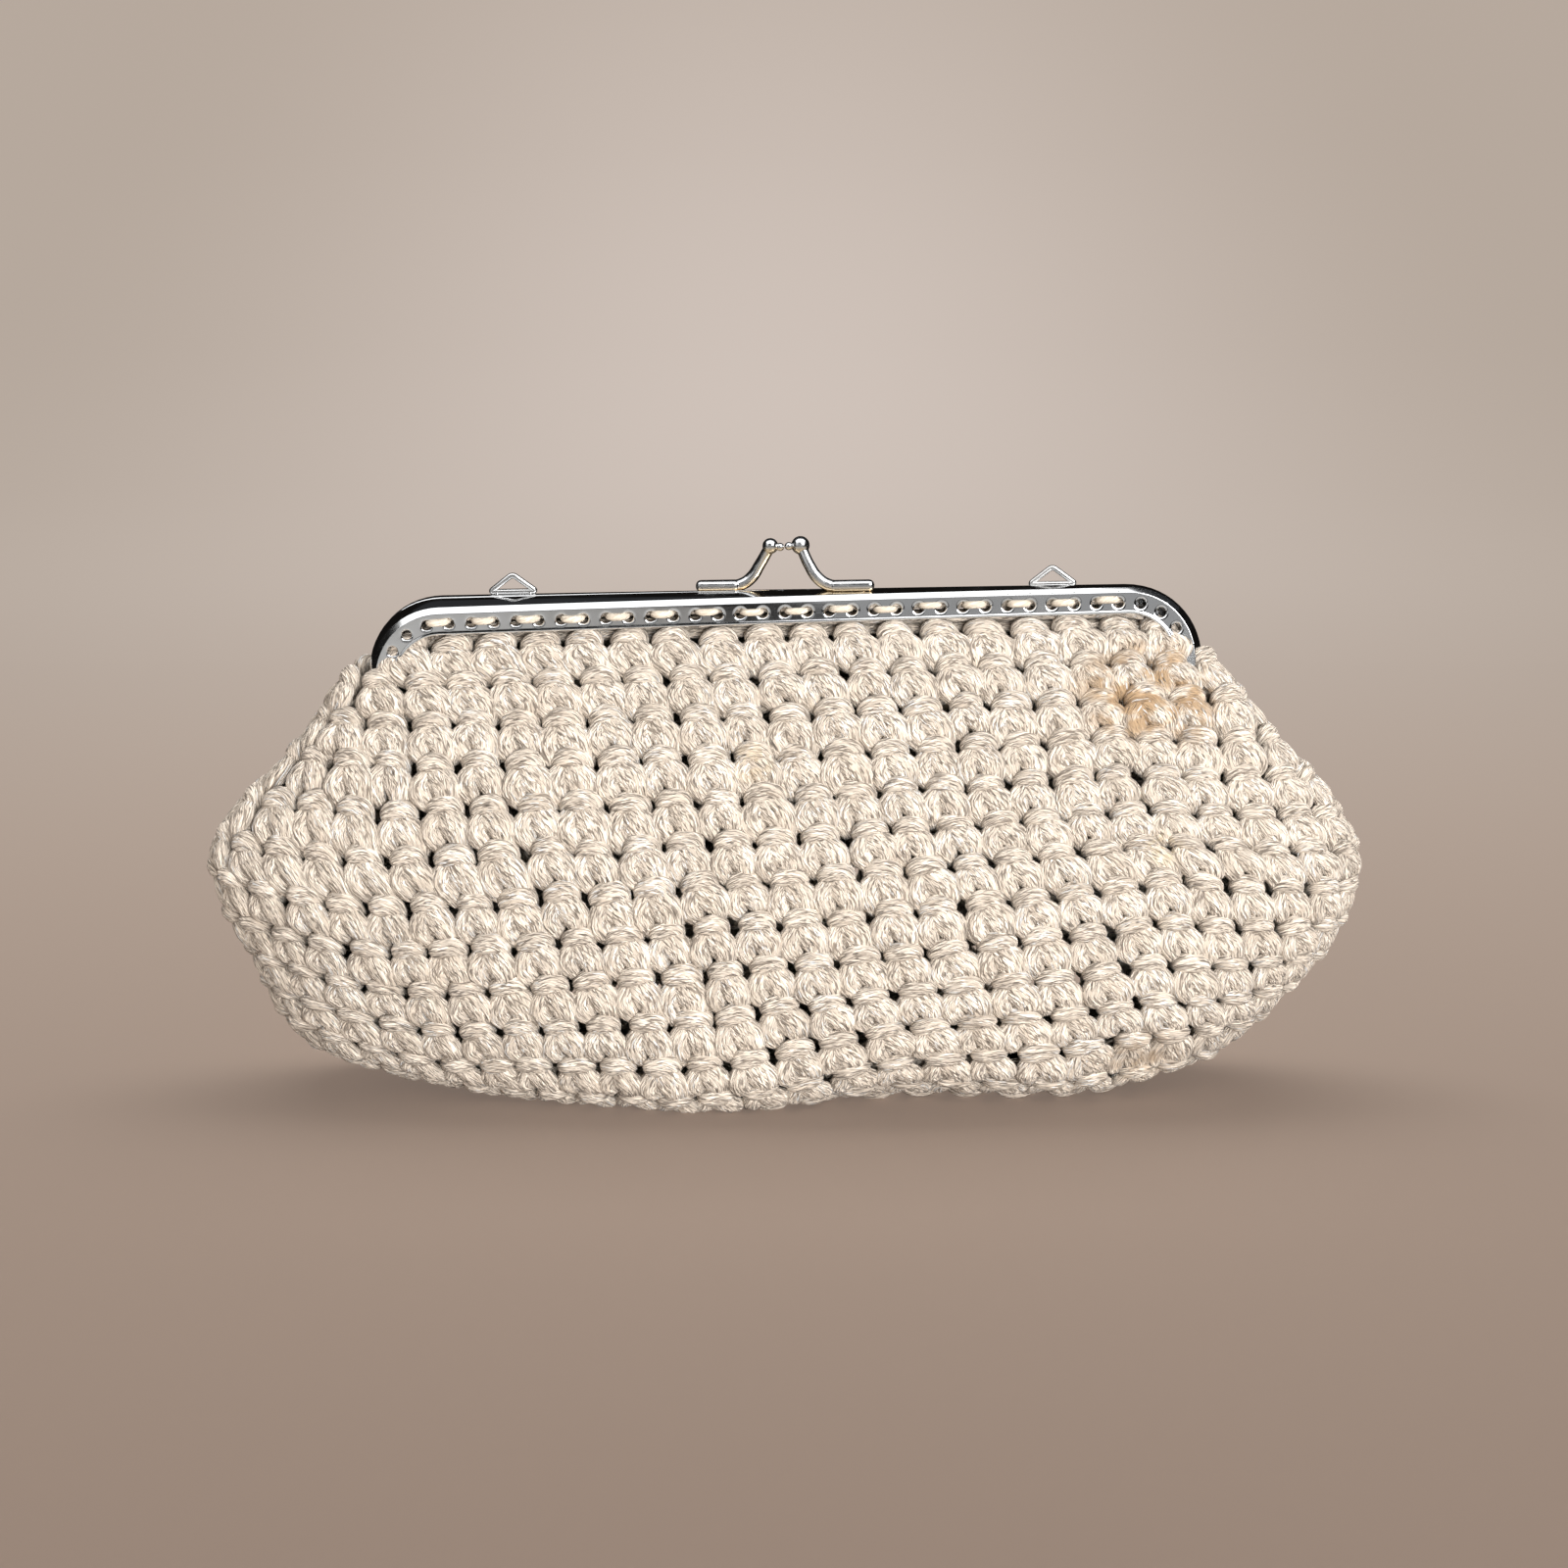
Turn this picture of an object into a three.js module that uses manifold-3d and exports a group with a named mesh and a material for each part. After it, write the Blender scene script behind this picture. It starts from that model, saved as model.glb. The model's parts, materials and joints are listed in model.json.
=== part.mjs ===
// A crochet clutch bag: a hollow crocheted body hung from a hinged metal frame with a kiss lock.
// Millimetres, +Z up, front of the bag towards -Y. The bag stands on its soft base at Z = 0.
import * as THREE from 'three';
import { mergeVertices } from 'three/addons/utils/BufferGeometryUtils.js';
import Module from 'manifold-3d';

const wasm = await Module();
wasm.setup();

// Frame: two channel-shaped halves that follow one upturned U
const FRAME_TOP = 121.7;
const FRAME_LEAN = THREE.MathUtils.degToRad(0.9);
const FRAME_TWIST = THREE.MathUtils.degToRad(10);
const FRAME_HALF_WIDTH = 100;
const FRAME_CORNER = 18;
const FRAME_LEG = 20.5;
const SHEET = 0.8;
const HALF_GAP = 0.2;
const FLANGE_FACE = 7;
const FLANGE_DROP = 7.4;
const INNER_DROP = 5;
const BEVEL_DEPTH = 1.8;
const BEVEL_DROP = 2;
const HEM = { proud: 0.35, edge: 0.1, middle: 0.4, height: 0.9 };
const TOP_ROUND = 0.6;
const FOLD_EASE = 0.2;
const CORNER_STEPS = 6;
const STRAIGHT_STEPS = 6;
const CLEARANCE = 0.3;

// Sewing holes along the flange
const HOLES_EACH_WAY = 19;
const HOLE_PITCH = 5.31;
const HOLE_RADIUS = 1;
const HOLE_INSET = 4.7;
const HOLE_LEG = 18.5;
const HOLE_SIDES = 6;

// Hinge: a tongue from each half, and a rivet through both
const HINGE_DROP = 24.5;
const TONGUE_RADIUS = 3;
const TONGUE_ARC = { from: Math.PI / 3, sweep: 1.2 * Math.PI };
const TONGUE_NECK = { overlap: 1, below: 0.5 };
const TONGUE_ROOT = { width: 3.4, height: 1.6, clear: 0.4, raise: 0.3 };
const RIVET_RADIUS = 1;
const RIVET_HEAD = { radius: 1.9, height: 0.7, round: 0.4 };
const BORE_LENGTH = 8;
const ROUND_SIDES = 10;

// Kiss lock: one arm on each half, staked through the top of the frame.
// The neck rises from the foot: back is how far from its near end, lean the share of the seat's
// distance from the middle, rise the height over the middle of the foot
const ARM_FOOT = { near: 10.8, far: 21.4, width: 3.6, thick: 2 };
const ARM_SEAT = 3.1;
const ARM_PEG = { radius: 1, inset: 3 };
const ARM_NECK = [
  { back: -2.2, lean: 1, rise: 0, radius: 1.05 },
  { back: 0.4, lean: 1, rise: 0.5, radius: 1.2 },
  { back: 2.9, lean: 0.96, rise: 2.3, radius: 1.2 },
  { back: 4.8, lean: 0.8, rise: 5.2, radius: 1.1 },
];
const ARM_NECK_STEPS = 10;
const ARM_BEAD = { radius: 0.75, waist: 0.7, drop: 0.3, steps: 4 };
const KNOB_NECK_RADIUS = 1.1;
const KNOB_FLATTEN = 0.92;
const KNOBS = {
  left: { x: 3.3, y: 1.2, z: 10.5, radius: 1.9, tip: 0.95 },
  right: { x: 3.9, y: -1, z: 10.6, radius: 2.2, tip: 1.1 },
};
const PEG_SIDES = 8;
const SOCKET_REACH = 2;

// Chain loops: triangles of round wire staked to the top of the back half
const LOOP_PLACES = { left: -65.2, right: 64.8 };
const LOOP_HALF_WIDTH = 5.6;
const LOOP_HEIGHT = 3.8;
const LOOP_BEND = 0.9;
const LOOP_BEND_STEPS = 3;
const WIRE_RADIUS = 0.55;
const WIRE_SIDES = 6;
const LOOP_SEAT = 3.4;
const LOOP_PEG_SPREAD = 4;
const PEG_DEPTH = 0.7;

// Crocheted body: one row for each level, from the flat base up to the mouth.
// left and right are the reach of the ends, depth that of the front and back, power the squareness
// of the plan, wall the thickness of the stitches
const LEVELS = [
  { height: 0, left: 101, right: 98, depth: 14, power: 2.8, wall: 6 },
  { height: 1.4, left: 110, right: 104.5, depth: 21.5, power: 2.7, wall: 6 },
  { height: 5, left: 117.5, right: 110.5, depth: 28, power: 2.6, wall: 6 },
  { height: 11, left: 123, right: 116.5, depth: 31.8, power: 2.5, wall: 6 },
  { height: 20, left: 127, right: 124, depth: 33.6, power: 2.5, wall: 6 },
  { height: 32, left: 131, right: 132.5, depth: 34, power: 2.5, wall: 6 },
  { height: 45, left: 137, right: 138.3, depth: 32.8, power: 2.5, wall: 6 },
  { height: 58, left: 140, right: 140.4, depth: 30.2, power: 2.6, wall: 6 },
  { height: 70, left: 133.5, right: 134, depth: 26.8, power: 2.7, wall: 6 },
  { height: 82, left: 122.5, right: 123, depth: 22.6, power: 3, wall: 6 },
  { height: 93.5, left: 114, right: 112, depth: 18.2, power: 3.5, wall: 5.6 },
  { height: 102, left: 107.5, right: 105, depth: 14, power: 4, wall: 5 },
  { height: 108.4, left: 101.5, right: 101, depth: 10.2, power: 4.4, wall: 4.6 },
  { height: 113.6, left: 93, right: 93, depth: 7, power: 5, wall: 4.3 },
  { height: 116.6, left: 87, right: 87, depth: 5, power: 5, wall: 4 },
];
const LEVEL_RINGS = 22;
const RING_POINTS = 44;
const LEAN_RANGE = { from: 60, to: 102 };
const TWIST_RANGE = { from: 84, to: 102 };
const MOUTH = { halfLength: 84, halfWidth: 3.2, power: 8, above: 3 };
const RIM = { halfLength: 79, outer: 5.9, inner: 3.2, top: 2.4, bottom: 11 };

// The ends of the base curl up off the ground: where each rise starts, its reach and its height
const BASE_CURLS = [
  { side: -1, from: 60, reach: 61, rise: 9.5 },
  { side: 1, from: 66, reach: 51, rise: 10 },
];
const CURL_POWER = 1.35;
const CURL_FADE = 52;

// Waves of the lower front edge: it sags to the ground left of the middle and lifts right of it
const EDGE_WAVES = [
  { x: -18, reach: 28, rise: -4 },
  { x: 32, reach: 24, rise: 3 },
];
const WAVE_RANGE = { full: 1.4, fade: 40 };

// Soft dents (depth above 0) and bulges (below 0) of the front, side -1, and the back, side 1
const FOLDS = [
  { side: -1, x: -18, height: 7, reachX: 30, reachZ: 12, depth: -2 },
  { side: -1, x: 86, height: 8, reachX: 11, reachZ: 5, depth: 4.5 },
  { side: -1, x: 97, height: 20, reachX: 18, reachZ: 9, depth: -1.6 },
  { side: -1, x: 74, height: 92, reachX: 26, reachZ: 15, depth: 2 },
  { side: -1, x: -58, height: 97, reachX: 24, reachZ: 12, depth: 1.5 },
  { side: 1, x: 30, height: 66, reachX: 52, reachZ: 30, depth: 1.6 },
  { side: 1, x: -62, height: 14, reachX: 26, reachZ: 10, depth: -1.2 },
];

const AXIS_X = new THREE.Vector3(1, 0, 0);
const AXIS_Y = new THREE.Vector3(0, 1, 0);
const AXIS_Z = new THREE.Vector3(0, 0, 1);
const WELD = 1e-4;

function toSolid(geometry) {
  const bare = geometry.clone();
  bare.deleteAttribute('normal');
  bare.deleteAttribute('uv');
  const merged = mergeVertices(bare, WELD);
  return new wasm.Manifold(new wasm.Mesh({
    numProp: 3,
    vertProperties: Float32Array.from(merged.attributes.position.array),
    triVerts: Uint32Array.from(merged.index.array),
  }));
}

function toGeometry(solid) {
  const mesh = solid.getMesh();
  const geometry = new THREE.BufferGeometry();
  geometry.setAttribute('position', new THREE.BufferAttribute(mesh.vertProperties, 3));
  geometry.setIndex(new THREE.BufferAttribute(mesh.triVerts, 1));
  geometry.computeVertexNormals();
  return geometry;
}

function signedVolume(points, triangles) {
  const area = new THREE.Vector3();
  return triangles.reduce((sum, [a, b, c]) => {
    area.crossVectors(points[b], points[c]);
    return sum + points[a].dot(area) / 6;
  }, 0);
}

// Skin over rings of points: closed into a loop, or capped at both ends by the given triangles
function skin(rings, cap) {
  const count = rings[0].length;
  const points = rings.flat();
  const triangles = [];
  const spans = cap ? rings.length - 1 : rings.length;
  for (let k = 0; k < spans; k += 1) {
    const low = k * count;
    const high = ((k + 1) % rings.length) * count;
    for (let i = 0; i < count; i += 1) {
      const j = (i + 1) % count;
      triangles.push([low + i, low + j, high + j], [low + i, high + j, high + i]);
    }
  }
  if (cap) {
    const last = (rings.length - 1) * count;
    cap.forEach(([a, b, c]) => triangles.push([c, b, a], [last + a, last + b, last + c]));
  }
  if (signedVolume(points, triangles) < 0) {
    triangles.forEach((triangle) => triangle.reverse());
  }
  const geometry = new THREE.BufferGeometry().setFromPoints(points);
  geometry.setIndex(triangles.flat());
  geometry.computeVertexNormals();
  return geometry;
}

// Flat strips across a ring whose points i and count - i face each other
function stripCap(count) {
  const triangles = [[0, 1, count - 1]];
  for (let i = 1; i < count / 2 - 1; i += 1) {
    triangles.push([i, i + 1, count - i], [i + 1, count - i - 1, count - i]);
  }
  triangles.push([count / 2 - 1, count / 2, count / 2 + 1]);
  return triangles;
}

function fanCap(count) {
  return Array.from({ length: count - 2 }, (unused, i) => [0, i + 1, i + 2]);
}

// Triangles over a section's outline, each turning the way the outline does
function sectionCap(outline) {
  const clockwise = THREE.ShapeUtils.isClockWise(outline);
  return THREE.ShapeUtils.triangulateShape(outline, []).map((triangle) => {
    const same = THREE.ShapeUtils.isClockWise(triangle.map((i) => outline[i])) === clockwise;
    return same ? triangle : triangle.reverse();
  });
}

// Round rod of changing radius along a curve that stays near the XZ plane
function taperedRod(stations, steps, sides) {
  const curve = new THREE.CatmullRomCurve3(stations.map((row) => new THREE.Vector3(row.x, row.y, row.z)));
  const radii = new THREE.SplineCurve(stations.map((row, i) => new THREE.Vector2(i, row.radius)));
  const rings = [];
  for (let k = 0; k <= steps; k += 1) {
    const along = curve.getTangent(k / steps);
    const across = new THREE.Vector3().crossVectors(AXIS_Y, along).normalize();
    const beside = new THREE.Vector3().crossVectors(along, across);
    const centre = curve.getPoint(k / steps);
    const radius = radii.getPoint(k / steps).y;
    rings.push(Array.from({ length: sides }, (unused, i) => {
      const turn = (2 * Math.PI * i) / sides;
      return centre.clone()
        .addScaledVector(across, radius * Math.cos(turn))
        .addScaledVector(beside, radius * Math.sin(turn));
    }));
  }
  return skin(rings, fanCap(sides));
}

// The closed frame is sprung: along its length it twists about the line of its hinges
function twistAt(x) {
  const turn = (-FRAME_TWIST * x) / FRAME_HALF_WIDTH;
  return new THREE.Matrix4().makeTranslation(0, 0, -HINGE_DROP)
    .multiply(new THREE.Matrix4().makeRotationX(turn))
    .multiply(new THREE.Matrix4().makeTranslation(0, 0, HINGE_DROP));
}

function twistAll(geometry) {
  const place = geometry.attributes.position;
  const point = new THREE.Vector3();
  for (let i = 0; i < place.count; i += 1) {
    point.fromBufferAttribute(place, i);
    point.applyMatrix4(twistAt(point.x));
    place.setXYZ(i, point.x, point.y, point.z);
  }
  return geometry;
}

// The frame's U, moved inwards by an inset, as X and Z in the frame's own axes
function framePoints(inset, leg) {
  const side = FRAME_HALF_WIDTH - inset;
  const centre = FRAME_HALF_WIDTH - FRAME_CORNER;
  const radius = FRAME_CORNER - inset;
  const corner = (end, from) => Array.from({ length: CORNER_STEPS + 1 }, (unused, k) => {
    const turn = from - (k * Math.PI) / (2 * CORNER_STEPS);
    const x = end * centre + radius * Math.cos(turn);
    return new THREE.Vector2(x, radius * Math.sin(turn) - FRAME_CORNER);
  });
  const straight = Array.from({ length: STRAIGHT_STEPS - 1 }, (unused, k) => (
    new THREE.Vector2(centre * ((2 * (k + 1)) / STRAIGHT_STEPS - 1), -inset)
  ));
  return [
    new THREE.Vector2(-side, -leg),
    ...corner(-1, Math.PI),
    ...straight,
    ...corner(1, Math.PI / 2),
    new THREE.Vector2(side, -leg),
  ];
}

// Section of one half: d is the distance in front of or behind the middle, n the inset from the edge
const SECTION = [
  { d: FLANGE_FACE - SHEET, n: FLANGE_DROP },
  { d: FLANGE_FACE + HEM.edge, n: FLANGE_DROP },
  { d: FLANGE_FACE + HEM.proud, n: FLANGE_DROP - HEM.middle },
  { d: FLANGE_FACE + HEM.edge, n: FLANGE_DROP - HEM.height },
  { d: FLANGE_FACE, n: BEVEL_DROP },
  { d: FLANGE_FACE - BEVEL_DEPTH, n: 0 },
  { d: HALF_GAP + TOP_ROUND, n: 0 },
  { d: HALF_GAP, n: TOP_ROUND },
  { d: HALF_GAP, n: INNER_DROP },
  { d: HALF_GAP + SHEET, n: INNER_DROP },
  { d: HALF_GAP + SHEET, n: SHEET },
  { d: FLANGE_FACE - BEVEL_DEPTH - FOLD_EASE, n: SHEET },
  { d: FLANGE_FACE - SHEET, n: BEVEL_DROP + FOLD_EASE },
];

function channel(side) {
  const insets = SECTION.map((row) => framePoints(row.n, FRAME_LEG));
  const rings = insets[0].map((unused, k) => SECTION.map((row, i) => {
    const place = insets[i][k];
    return new THREE.Vector3(place.x, side * row.d, place.y);
  }));
  const outline = SECTION.map((row) => new THREE.Vector2(row.d, row.n));
  return toSolid(twistAll(skin(rings, sectionCap(outline))));
}

// Plate in the YZ plane, thickened along X between two places
function sidePlate(shape, from, to) {
  const geometry = new THREE.ExtrudeGeometry(shape, { depth: to - from, bevelEnabled: false });
  const turn = new THREE.Matrix4().makeBasis(AXIS_Y, AXIS_Z, AXIS_X);
  return toSolid(geometry.applyMatrix4(turn).translate(from, 0, 0));
}

function roundPeg(radius, low, high) {
  return new THREE.CylinderGeometry(radius, radius, high - low, PEG_SIDES)
    .rotateX(Math.PI / 2)
    .translate(0, 0, (low + high) / 2);
}

// Hinge tongue of the half on one side, at one end of the frame, between two insets
function tongue(side, end, insets) {
  const root = FLANGE_FACE - BEVEL_DEPTH;
  const neck = HALF_GAP + SHEET;
  const shape = new THREE.Shape();
  shape.moveTo(side * root, -FRAME_LEG + TONGUE_NECK.overlap);
  shape.lineTo(side * neck, -FRAME_LEG + TONGUE_NECK.overlap);
  shape.lineTo(side * neck, -FRAME_LEG - TONGUE_NECK.below);
  const start = side > 0 ? Math.PI - TONGUE_ARC.from : TONGUE_ARC.from;
  const stop = start + side * TONGUE_ARC.sweep;
  shape.absarc(0, -HINGE_DROP, TONGUE_RADIUS, start, stop, side < 0);
  const places = insets.map((inset) => end * (FRAME_HALF_WIDTH - inset));
  const plate = sidePlate(shape, Math.min(...places), Math.max(...places));
  const boreRadius = RIVET_RADIUS + CLEARANCE;
  const bore = new THREE.CylinderGeometry(boreRadius, boreRadius, BORE_LENGTH, ROUND_SIDES)
    .rotateZ(Math.PI / 2)
    .translate(end * FRAME_HALF_WIDTH, 0, -HINGE_DROP);
  return plate.subtract(toSolid(bore)).transform(twistAt(end * FRAME_HALF_WIDTH).elements);
}

// Strip that ties the inner tongue to the outer wall of its channel
function tongueRoot(side, end) {
  const insets = [SHEET / 2, 2 * SHEET + CLEARANCE];
  const across = FRAME_HALF_WIDTH - (insets[0] + insets[1]) / 2;
  const outward = HALF_GAP + SHEET + TONGUE_ROOT.clear + TONGUE_ROOT.width / 2;
  const block = new THREE.BoxGeometry(insets[1] - insets[0], TONGUE_ROOT.width, TONGUE_ROOT.height)
    .translate(end * across, side * outward, -FRAME_LEG + TONGUE_ROOT.raise)
    .applyMatrix4(twistAt(end * FRAME_HALF_WIDTH));
  return toSolid(block);
}

// One half of the frame, with a socket for each peg that is staked into it
function frameHalf(side) {
  let solid = channel(side);
  const holeLine = new THREE.Path(framePoints(HOLE_INSET, HOLE_LEG));
  for (let k = -HOLES_EACH_WAY; k <= HOLES_EACH_WAY; k += 1) {
    const place = holeLine.getPointAt(0.5 + (k * HOLE_PITCH) / holeLine.getLength());
    const hole = new THREE.CylinderGeometry(HOLE_RADIUS, HOLE_RADIUS, 3 * SHEET, HOLE_SIDES)
      .rotateY(Math.PI / HOLE_SIDES)
      .translate(place.x, side * (FLANGE_FACE - SHEET / 2), place.y)
      .applyMatrix4(twistAt(place.x));
    solid = solid.subtract(toSolid(hole));
  }
  const insets = side < 0 ? [0, SHEET] : [SHEET + CLEARANCE, 2 * SHEET + CLEARANCE];
  [-1, 1].forEach((end) => {
    solid = solid.add(tongue(side, end, insets));
    if (side > 0) {
      solid = solid.add(tongueRoot(side, end));
    }
  });
  pegsOf(side).forEach((peg) => {
    const socket = roundPeg(peg.radius + CLEARANCE, -SOCKET_REACH, SOCKET_REACH)
      .translate(peg.x, peg.y, 0)
      .applyMatrix4(twistAt(peg.x));
    solid = solid.subtract(toSolid(socket));
  });
  return toGeometry(solid);
}

// Where a clasp arm's peg goes through the top of its half
function armPeg(side, end) {
  return { x: end * (ARM_FOOT.far - ARM_PEG.inset), y: side * ARM_SEAT, radius: ARM_PEG.radius };
}

// Where the two pegs of a chain loop go through the top of the back half
function loopPegs(place) {
  return [-1, 1].map((end) => (
    { x: place + end * LOOP_PEG_SPREAD, y: LOOP_SEAT, radius: WIRE_RADIUS }
  ));
}

// The right arm is staked to the front half, the left arm and both loops to the back half
function pegsOf(side) {
  if (side < 0) {
    return [armPeg(side, 1)];
  }
  return [armPeg(side, -1), ...loopPegs(LOOP_PLACES.left), ...loopPegs(LOOP_PLACES.right)];
}

function seatedPeg(peg, top) {
  return toSolid(roundPeg(peg.radius, -PEG_DEPTH, top).translate(peg.x, peg.y, 0));
}

// Arm of the kiss lock: foot, rising neck, knob and the small bead that meets the other arm
function claspArm(side, end, knob) {
  const seat = side * ARM_SEAT;
  const middle = CLEARANCE + ARM_FOOT.thick / 2;
  const length = ARM_FOOT.far - ARM_FOOT.near;
  const foot = new THREE.BoxGeometry(length, ARM_FOOT.width, ARM_FOOT.thick)
    .translate(end * (ARM_FOOT.near + length / 2), seat, middle);
  const knobRoot = { x: end * knob.x, y: knob.y, z: knob.z, radius: KNOB_NECK_RADIUS };
  const rise = ARM_NECK.map((row) => ({
    x: end * (ARM_FOOT.near - row.back),
    y: row.lean * seat,
    z: middle + row.rise,
    radius: row.radius,
  }));
  const neck = taperedRod([...rise, knobRoot], ARM_NECK_STEPS, PEG_SIDES);
  const head = new THREE.SphereGeometry(knob.radius, ROUND_SIDES, PEG_SIDES)
    .scale(KNOB_FLATTEN, 1, 1)
    .translate(end * knob.x, knob.y, knob.z);
  const beadHeight = knob.z - ARM_BEAD.drop;
  const waist = { x: end * (knob.x - knob.radius), y: knob.y, z: beadHeight, radius: ARM_BEAD.waist };
  const front = { x: end * knob.tip, y: knob.y / 2, z: beadHeight, radius: ARM_BEAD.radius };
  const bead = taperedRod([knobRoot, waist, front], ARM_BEAD.steps, PEG_SIDES);
  const peg = seatedPeg(armPeg(side, end), middle);
  const arm = toSolid(foot).add(toSolid(neck)).add(toSolid(head)).add(toSolid(bead)).add(peg);
  return toGeometry(arm).applyMatrix4(twistAt(end * (ARM_FOOT.near + length / 2)));
}

// Triangle of wire with rounded corners, standing on the frame
function chainLoop(place) {
  const low = CLEARANCE + WIRE_RADIUS;
  const corners = [
    new THREE.Vector2(-LOOP_HALF_WIDTH, low),
    new THREE.Vector2(LOOP_HALF_WIDTH, low),
    new THREE.Vector2(0, low + LOOP_HEIGHT),
  ];
  const middle = new THREE.Vector2(0, low + LOOP_HEIGHT / 3);
  const stations = corners.flatMap((corner, i) => {
    const before = corners[(i + 2) % 3].clone().sub(corner).setLength(LOOP_BEND).add(corner);
    const after = corners[(i + 1) % 3].clone().sub(corner).setLength(LOOP_BEND).add(corner);
    return new THREE.QuadraticBezierCurve(before, corner, after).getPoints(LOOP_BEND_STEPS);
  });
  const rings = stations.map((station) => {
    const outward = station.clone().sub(middle).normalize();
    return Array.from({ length: WIRE_SIDES }, (unused, i) => {
      const turn = (2 * Math.PI * i) / WIRE_SIDES;
      const swell = WIRE_RADIUS * Math.cos(turn);
      return new THREE.Vector3(
        place + station.x + swell * outward.x,
        LOOP_SEAT + WIRE_RADIUS * Math.sin(turn),
        station.y + swell * outward.y,
      );
    });
  });
  const wire = toSolid(skin(rings));
  const solid = loopPegs(place).reduce((sum, peg) => sum.add(seatedPeg(peg, low)), wire);
  return toGeometry(solid).applyMatrix4(twistAt(place));
}

// Rivet through both tongues, with a head on each side
function hingeRivet(end) {
  const inner = 2 * SHEET + 2 * CLEARANCE;
  const outer = -CLEARANCE;
  const crown = RIVET_HEAD.radius - RIVET_HEAD.round;
  const shoulder = RIVET_HEAD.height - RIVET_HEAD.round;
  const profile = [
    { r: 0, n: outer - RIVET_HEAD.height },
    { r: crown, n: outer - RIVET_HEAD.height },
    { r: RIVET_HEAD.radius, n: outer - shoulder },
    { r: RIVET_HEAD.radius, n: outer },
    { r: RIVET_RADIUS, n: outer },
    { r: RIVET_RADIUS, n: inner },
    { r: RIVET_HEAD.radius, n: inner },
    { r: RIVET_HEAD.radius, n: inner + shoulder },
    { r: crown, n: inner + RIVET_HEAD.height },
    { r: 0, n: inner + RIVET_HEAD.height },
  ];
  return new THREE.LatheGeometry(profile.map((row) => new THREE.Vector2(row.r, row.n)), ROUND_SIDES)
    .rotateZ((end * Math.PI) / 2)
    .translate(end * FRAME_HALF_WIDTH, 0, -HINGE_DROP)
    .applyMatrix4(twistAt(end * FRAME_HALF_WIDTH));
}

function levelAt(share) {
  const level = {};
  Object.keys(LEVELS[0]).forEach((name) => {
    const column = new THREE.SplineCurve(LEVELS.map((row, i) => new THREE.Vector2(i, row[name])));
    level[name] = column.getPoint(share).y;
  });
  return level;
}

function baseCurl(x) {
  return BASE_CURLS.reduce((rise, curl) => {
    const past = Math.max(0, curl.side * x - curl.from) / curl.reach;
    return rise + curl.rise * past ** CURL_POWER;
  }, 0);
}

function hill(distance, reach) {
  return Math.exp(-((distance / reach) ** 2));
}

// Point of the body's outer surface: plan curve of its level, then folds, waves, curl, twist and lean
function bodyPoint(level, turn, frameGroup) {
  const along = Math.cos(turn);
  const face = (1 - Math.abs(along) ** level.power) ** (1 / level.power);
  const side = Math.sin(turn) < 0 ? -1 : 1;
  const x = along * (along < 0 ? level.left : level.right);
  const fold = FOLDS.filter((row) => row.side === side).reduce((sum, row) => (
    sum + row.depth * hill(x - row.x, row.reachX) * hill(level.height - row.height, row.reachZ)
  ), 0);
  const y = side * face * (level.depth - fold);
  const frontness = side < 0 ? face : 0;
  const wave = EDGE_WAVES.reduce((sum, row) => sum + row.rise * hill(x - row.x, row.reach), 0)
    * Math.min(1, level.height / WAVE_RANGE.full) * Math.max(0, 1 - level.height / WAVE_RANGE.fade);
  const curl = baseCurl(x) * Math.max(0, 1 - level.height / CURL_FADE) ** 2;
  const z = Math.max(0, level.height + wave * frontness) + curl;
  const twist = THREE.MathUtils.smoothstep(level.height, TWIST_RANGE.from, TWIST_RANGE.to);
  const lean = THREE.MathUtils.smoothstep(level.height, LEAN_RANGE.from, LEAN_RANGE.to);
  return new THREE.Vector3(x, y, z - FRAME_TOP)
    .applyMatrix4(twistAt(x * twist))
    .applyAxisAngle(AXIS_Y, lean * frameGroup.rotation.y)
    .add(frameGroup.position);
}

function bodyRing(level, frameGroup) {
  return Array.from({ length: RING_POINTS }, (unused, i) => (
    bodyPoint(level, (-2 * Math.PI * i) / RING_POINTS, frameGroup)
  ));
}

// Space that the closed frame takes up, with its clearance
function frameRoom() {
  const leg = HINGE_DROP + TONGUE_RADIUS + CLEARANCE;
  const shape = new THREE.Shape([
    ...framePoints(-CLEARANCE, leg),
    ...framePoints(FLANGE_DROP + CLEARANCE, leg).reverse(),
  ]);
  const half = FLANGE_FACE + HEM.proud + CLEARANCE;
  const turn = new THREE.Matrix4().makeBasis(AXIS_X, AXIS_Z, AXIS_Y.clone().negate());
  const room = new THREE.ExtrudeGeometry(shape, { depth: 2 * half, bevelEnabled: false })
    .applyMatrix4(turn)
    .translate(0, half, 0);
  const head = 2 * (RIVET_HEAD.height + 2 * CLEARANCE);
  const heads = [-1, 1].map((end) => new THREE.BoxGeometry(head, 2 * TONGUE_RADIUS, 2 * TONGUE_RADIUS)
    .translate(end * FRAME_HALF_WIDTH, 0, -HINGE_DROP));
  return [room, ...heads].map(twistAll);
}

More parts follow.
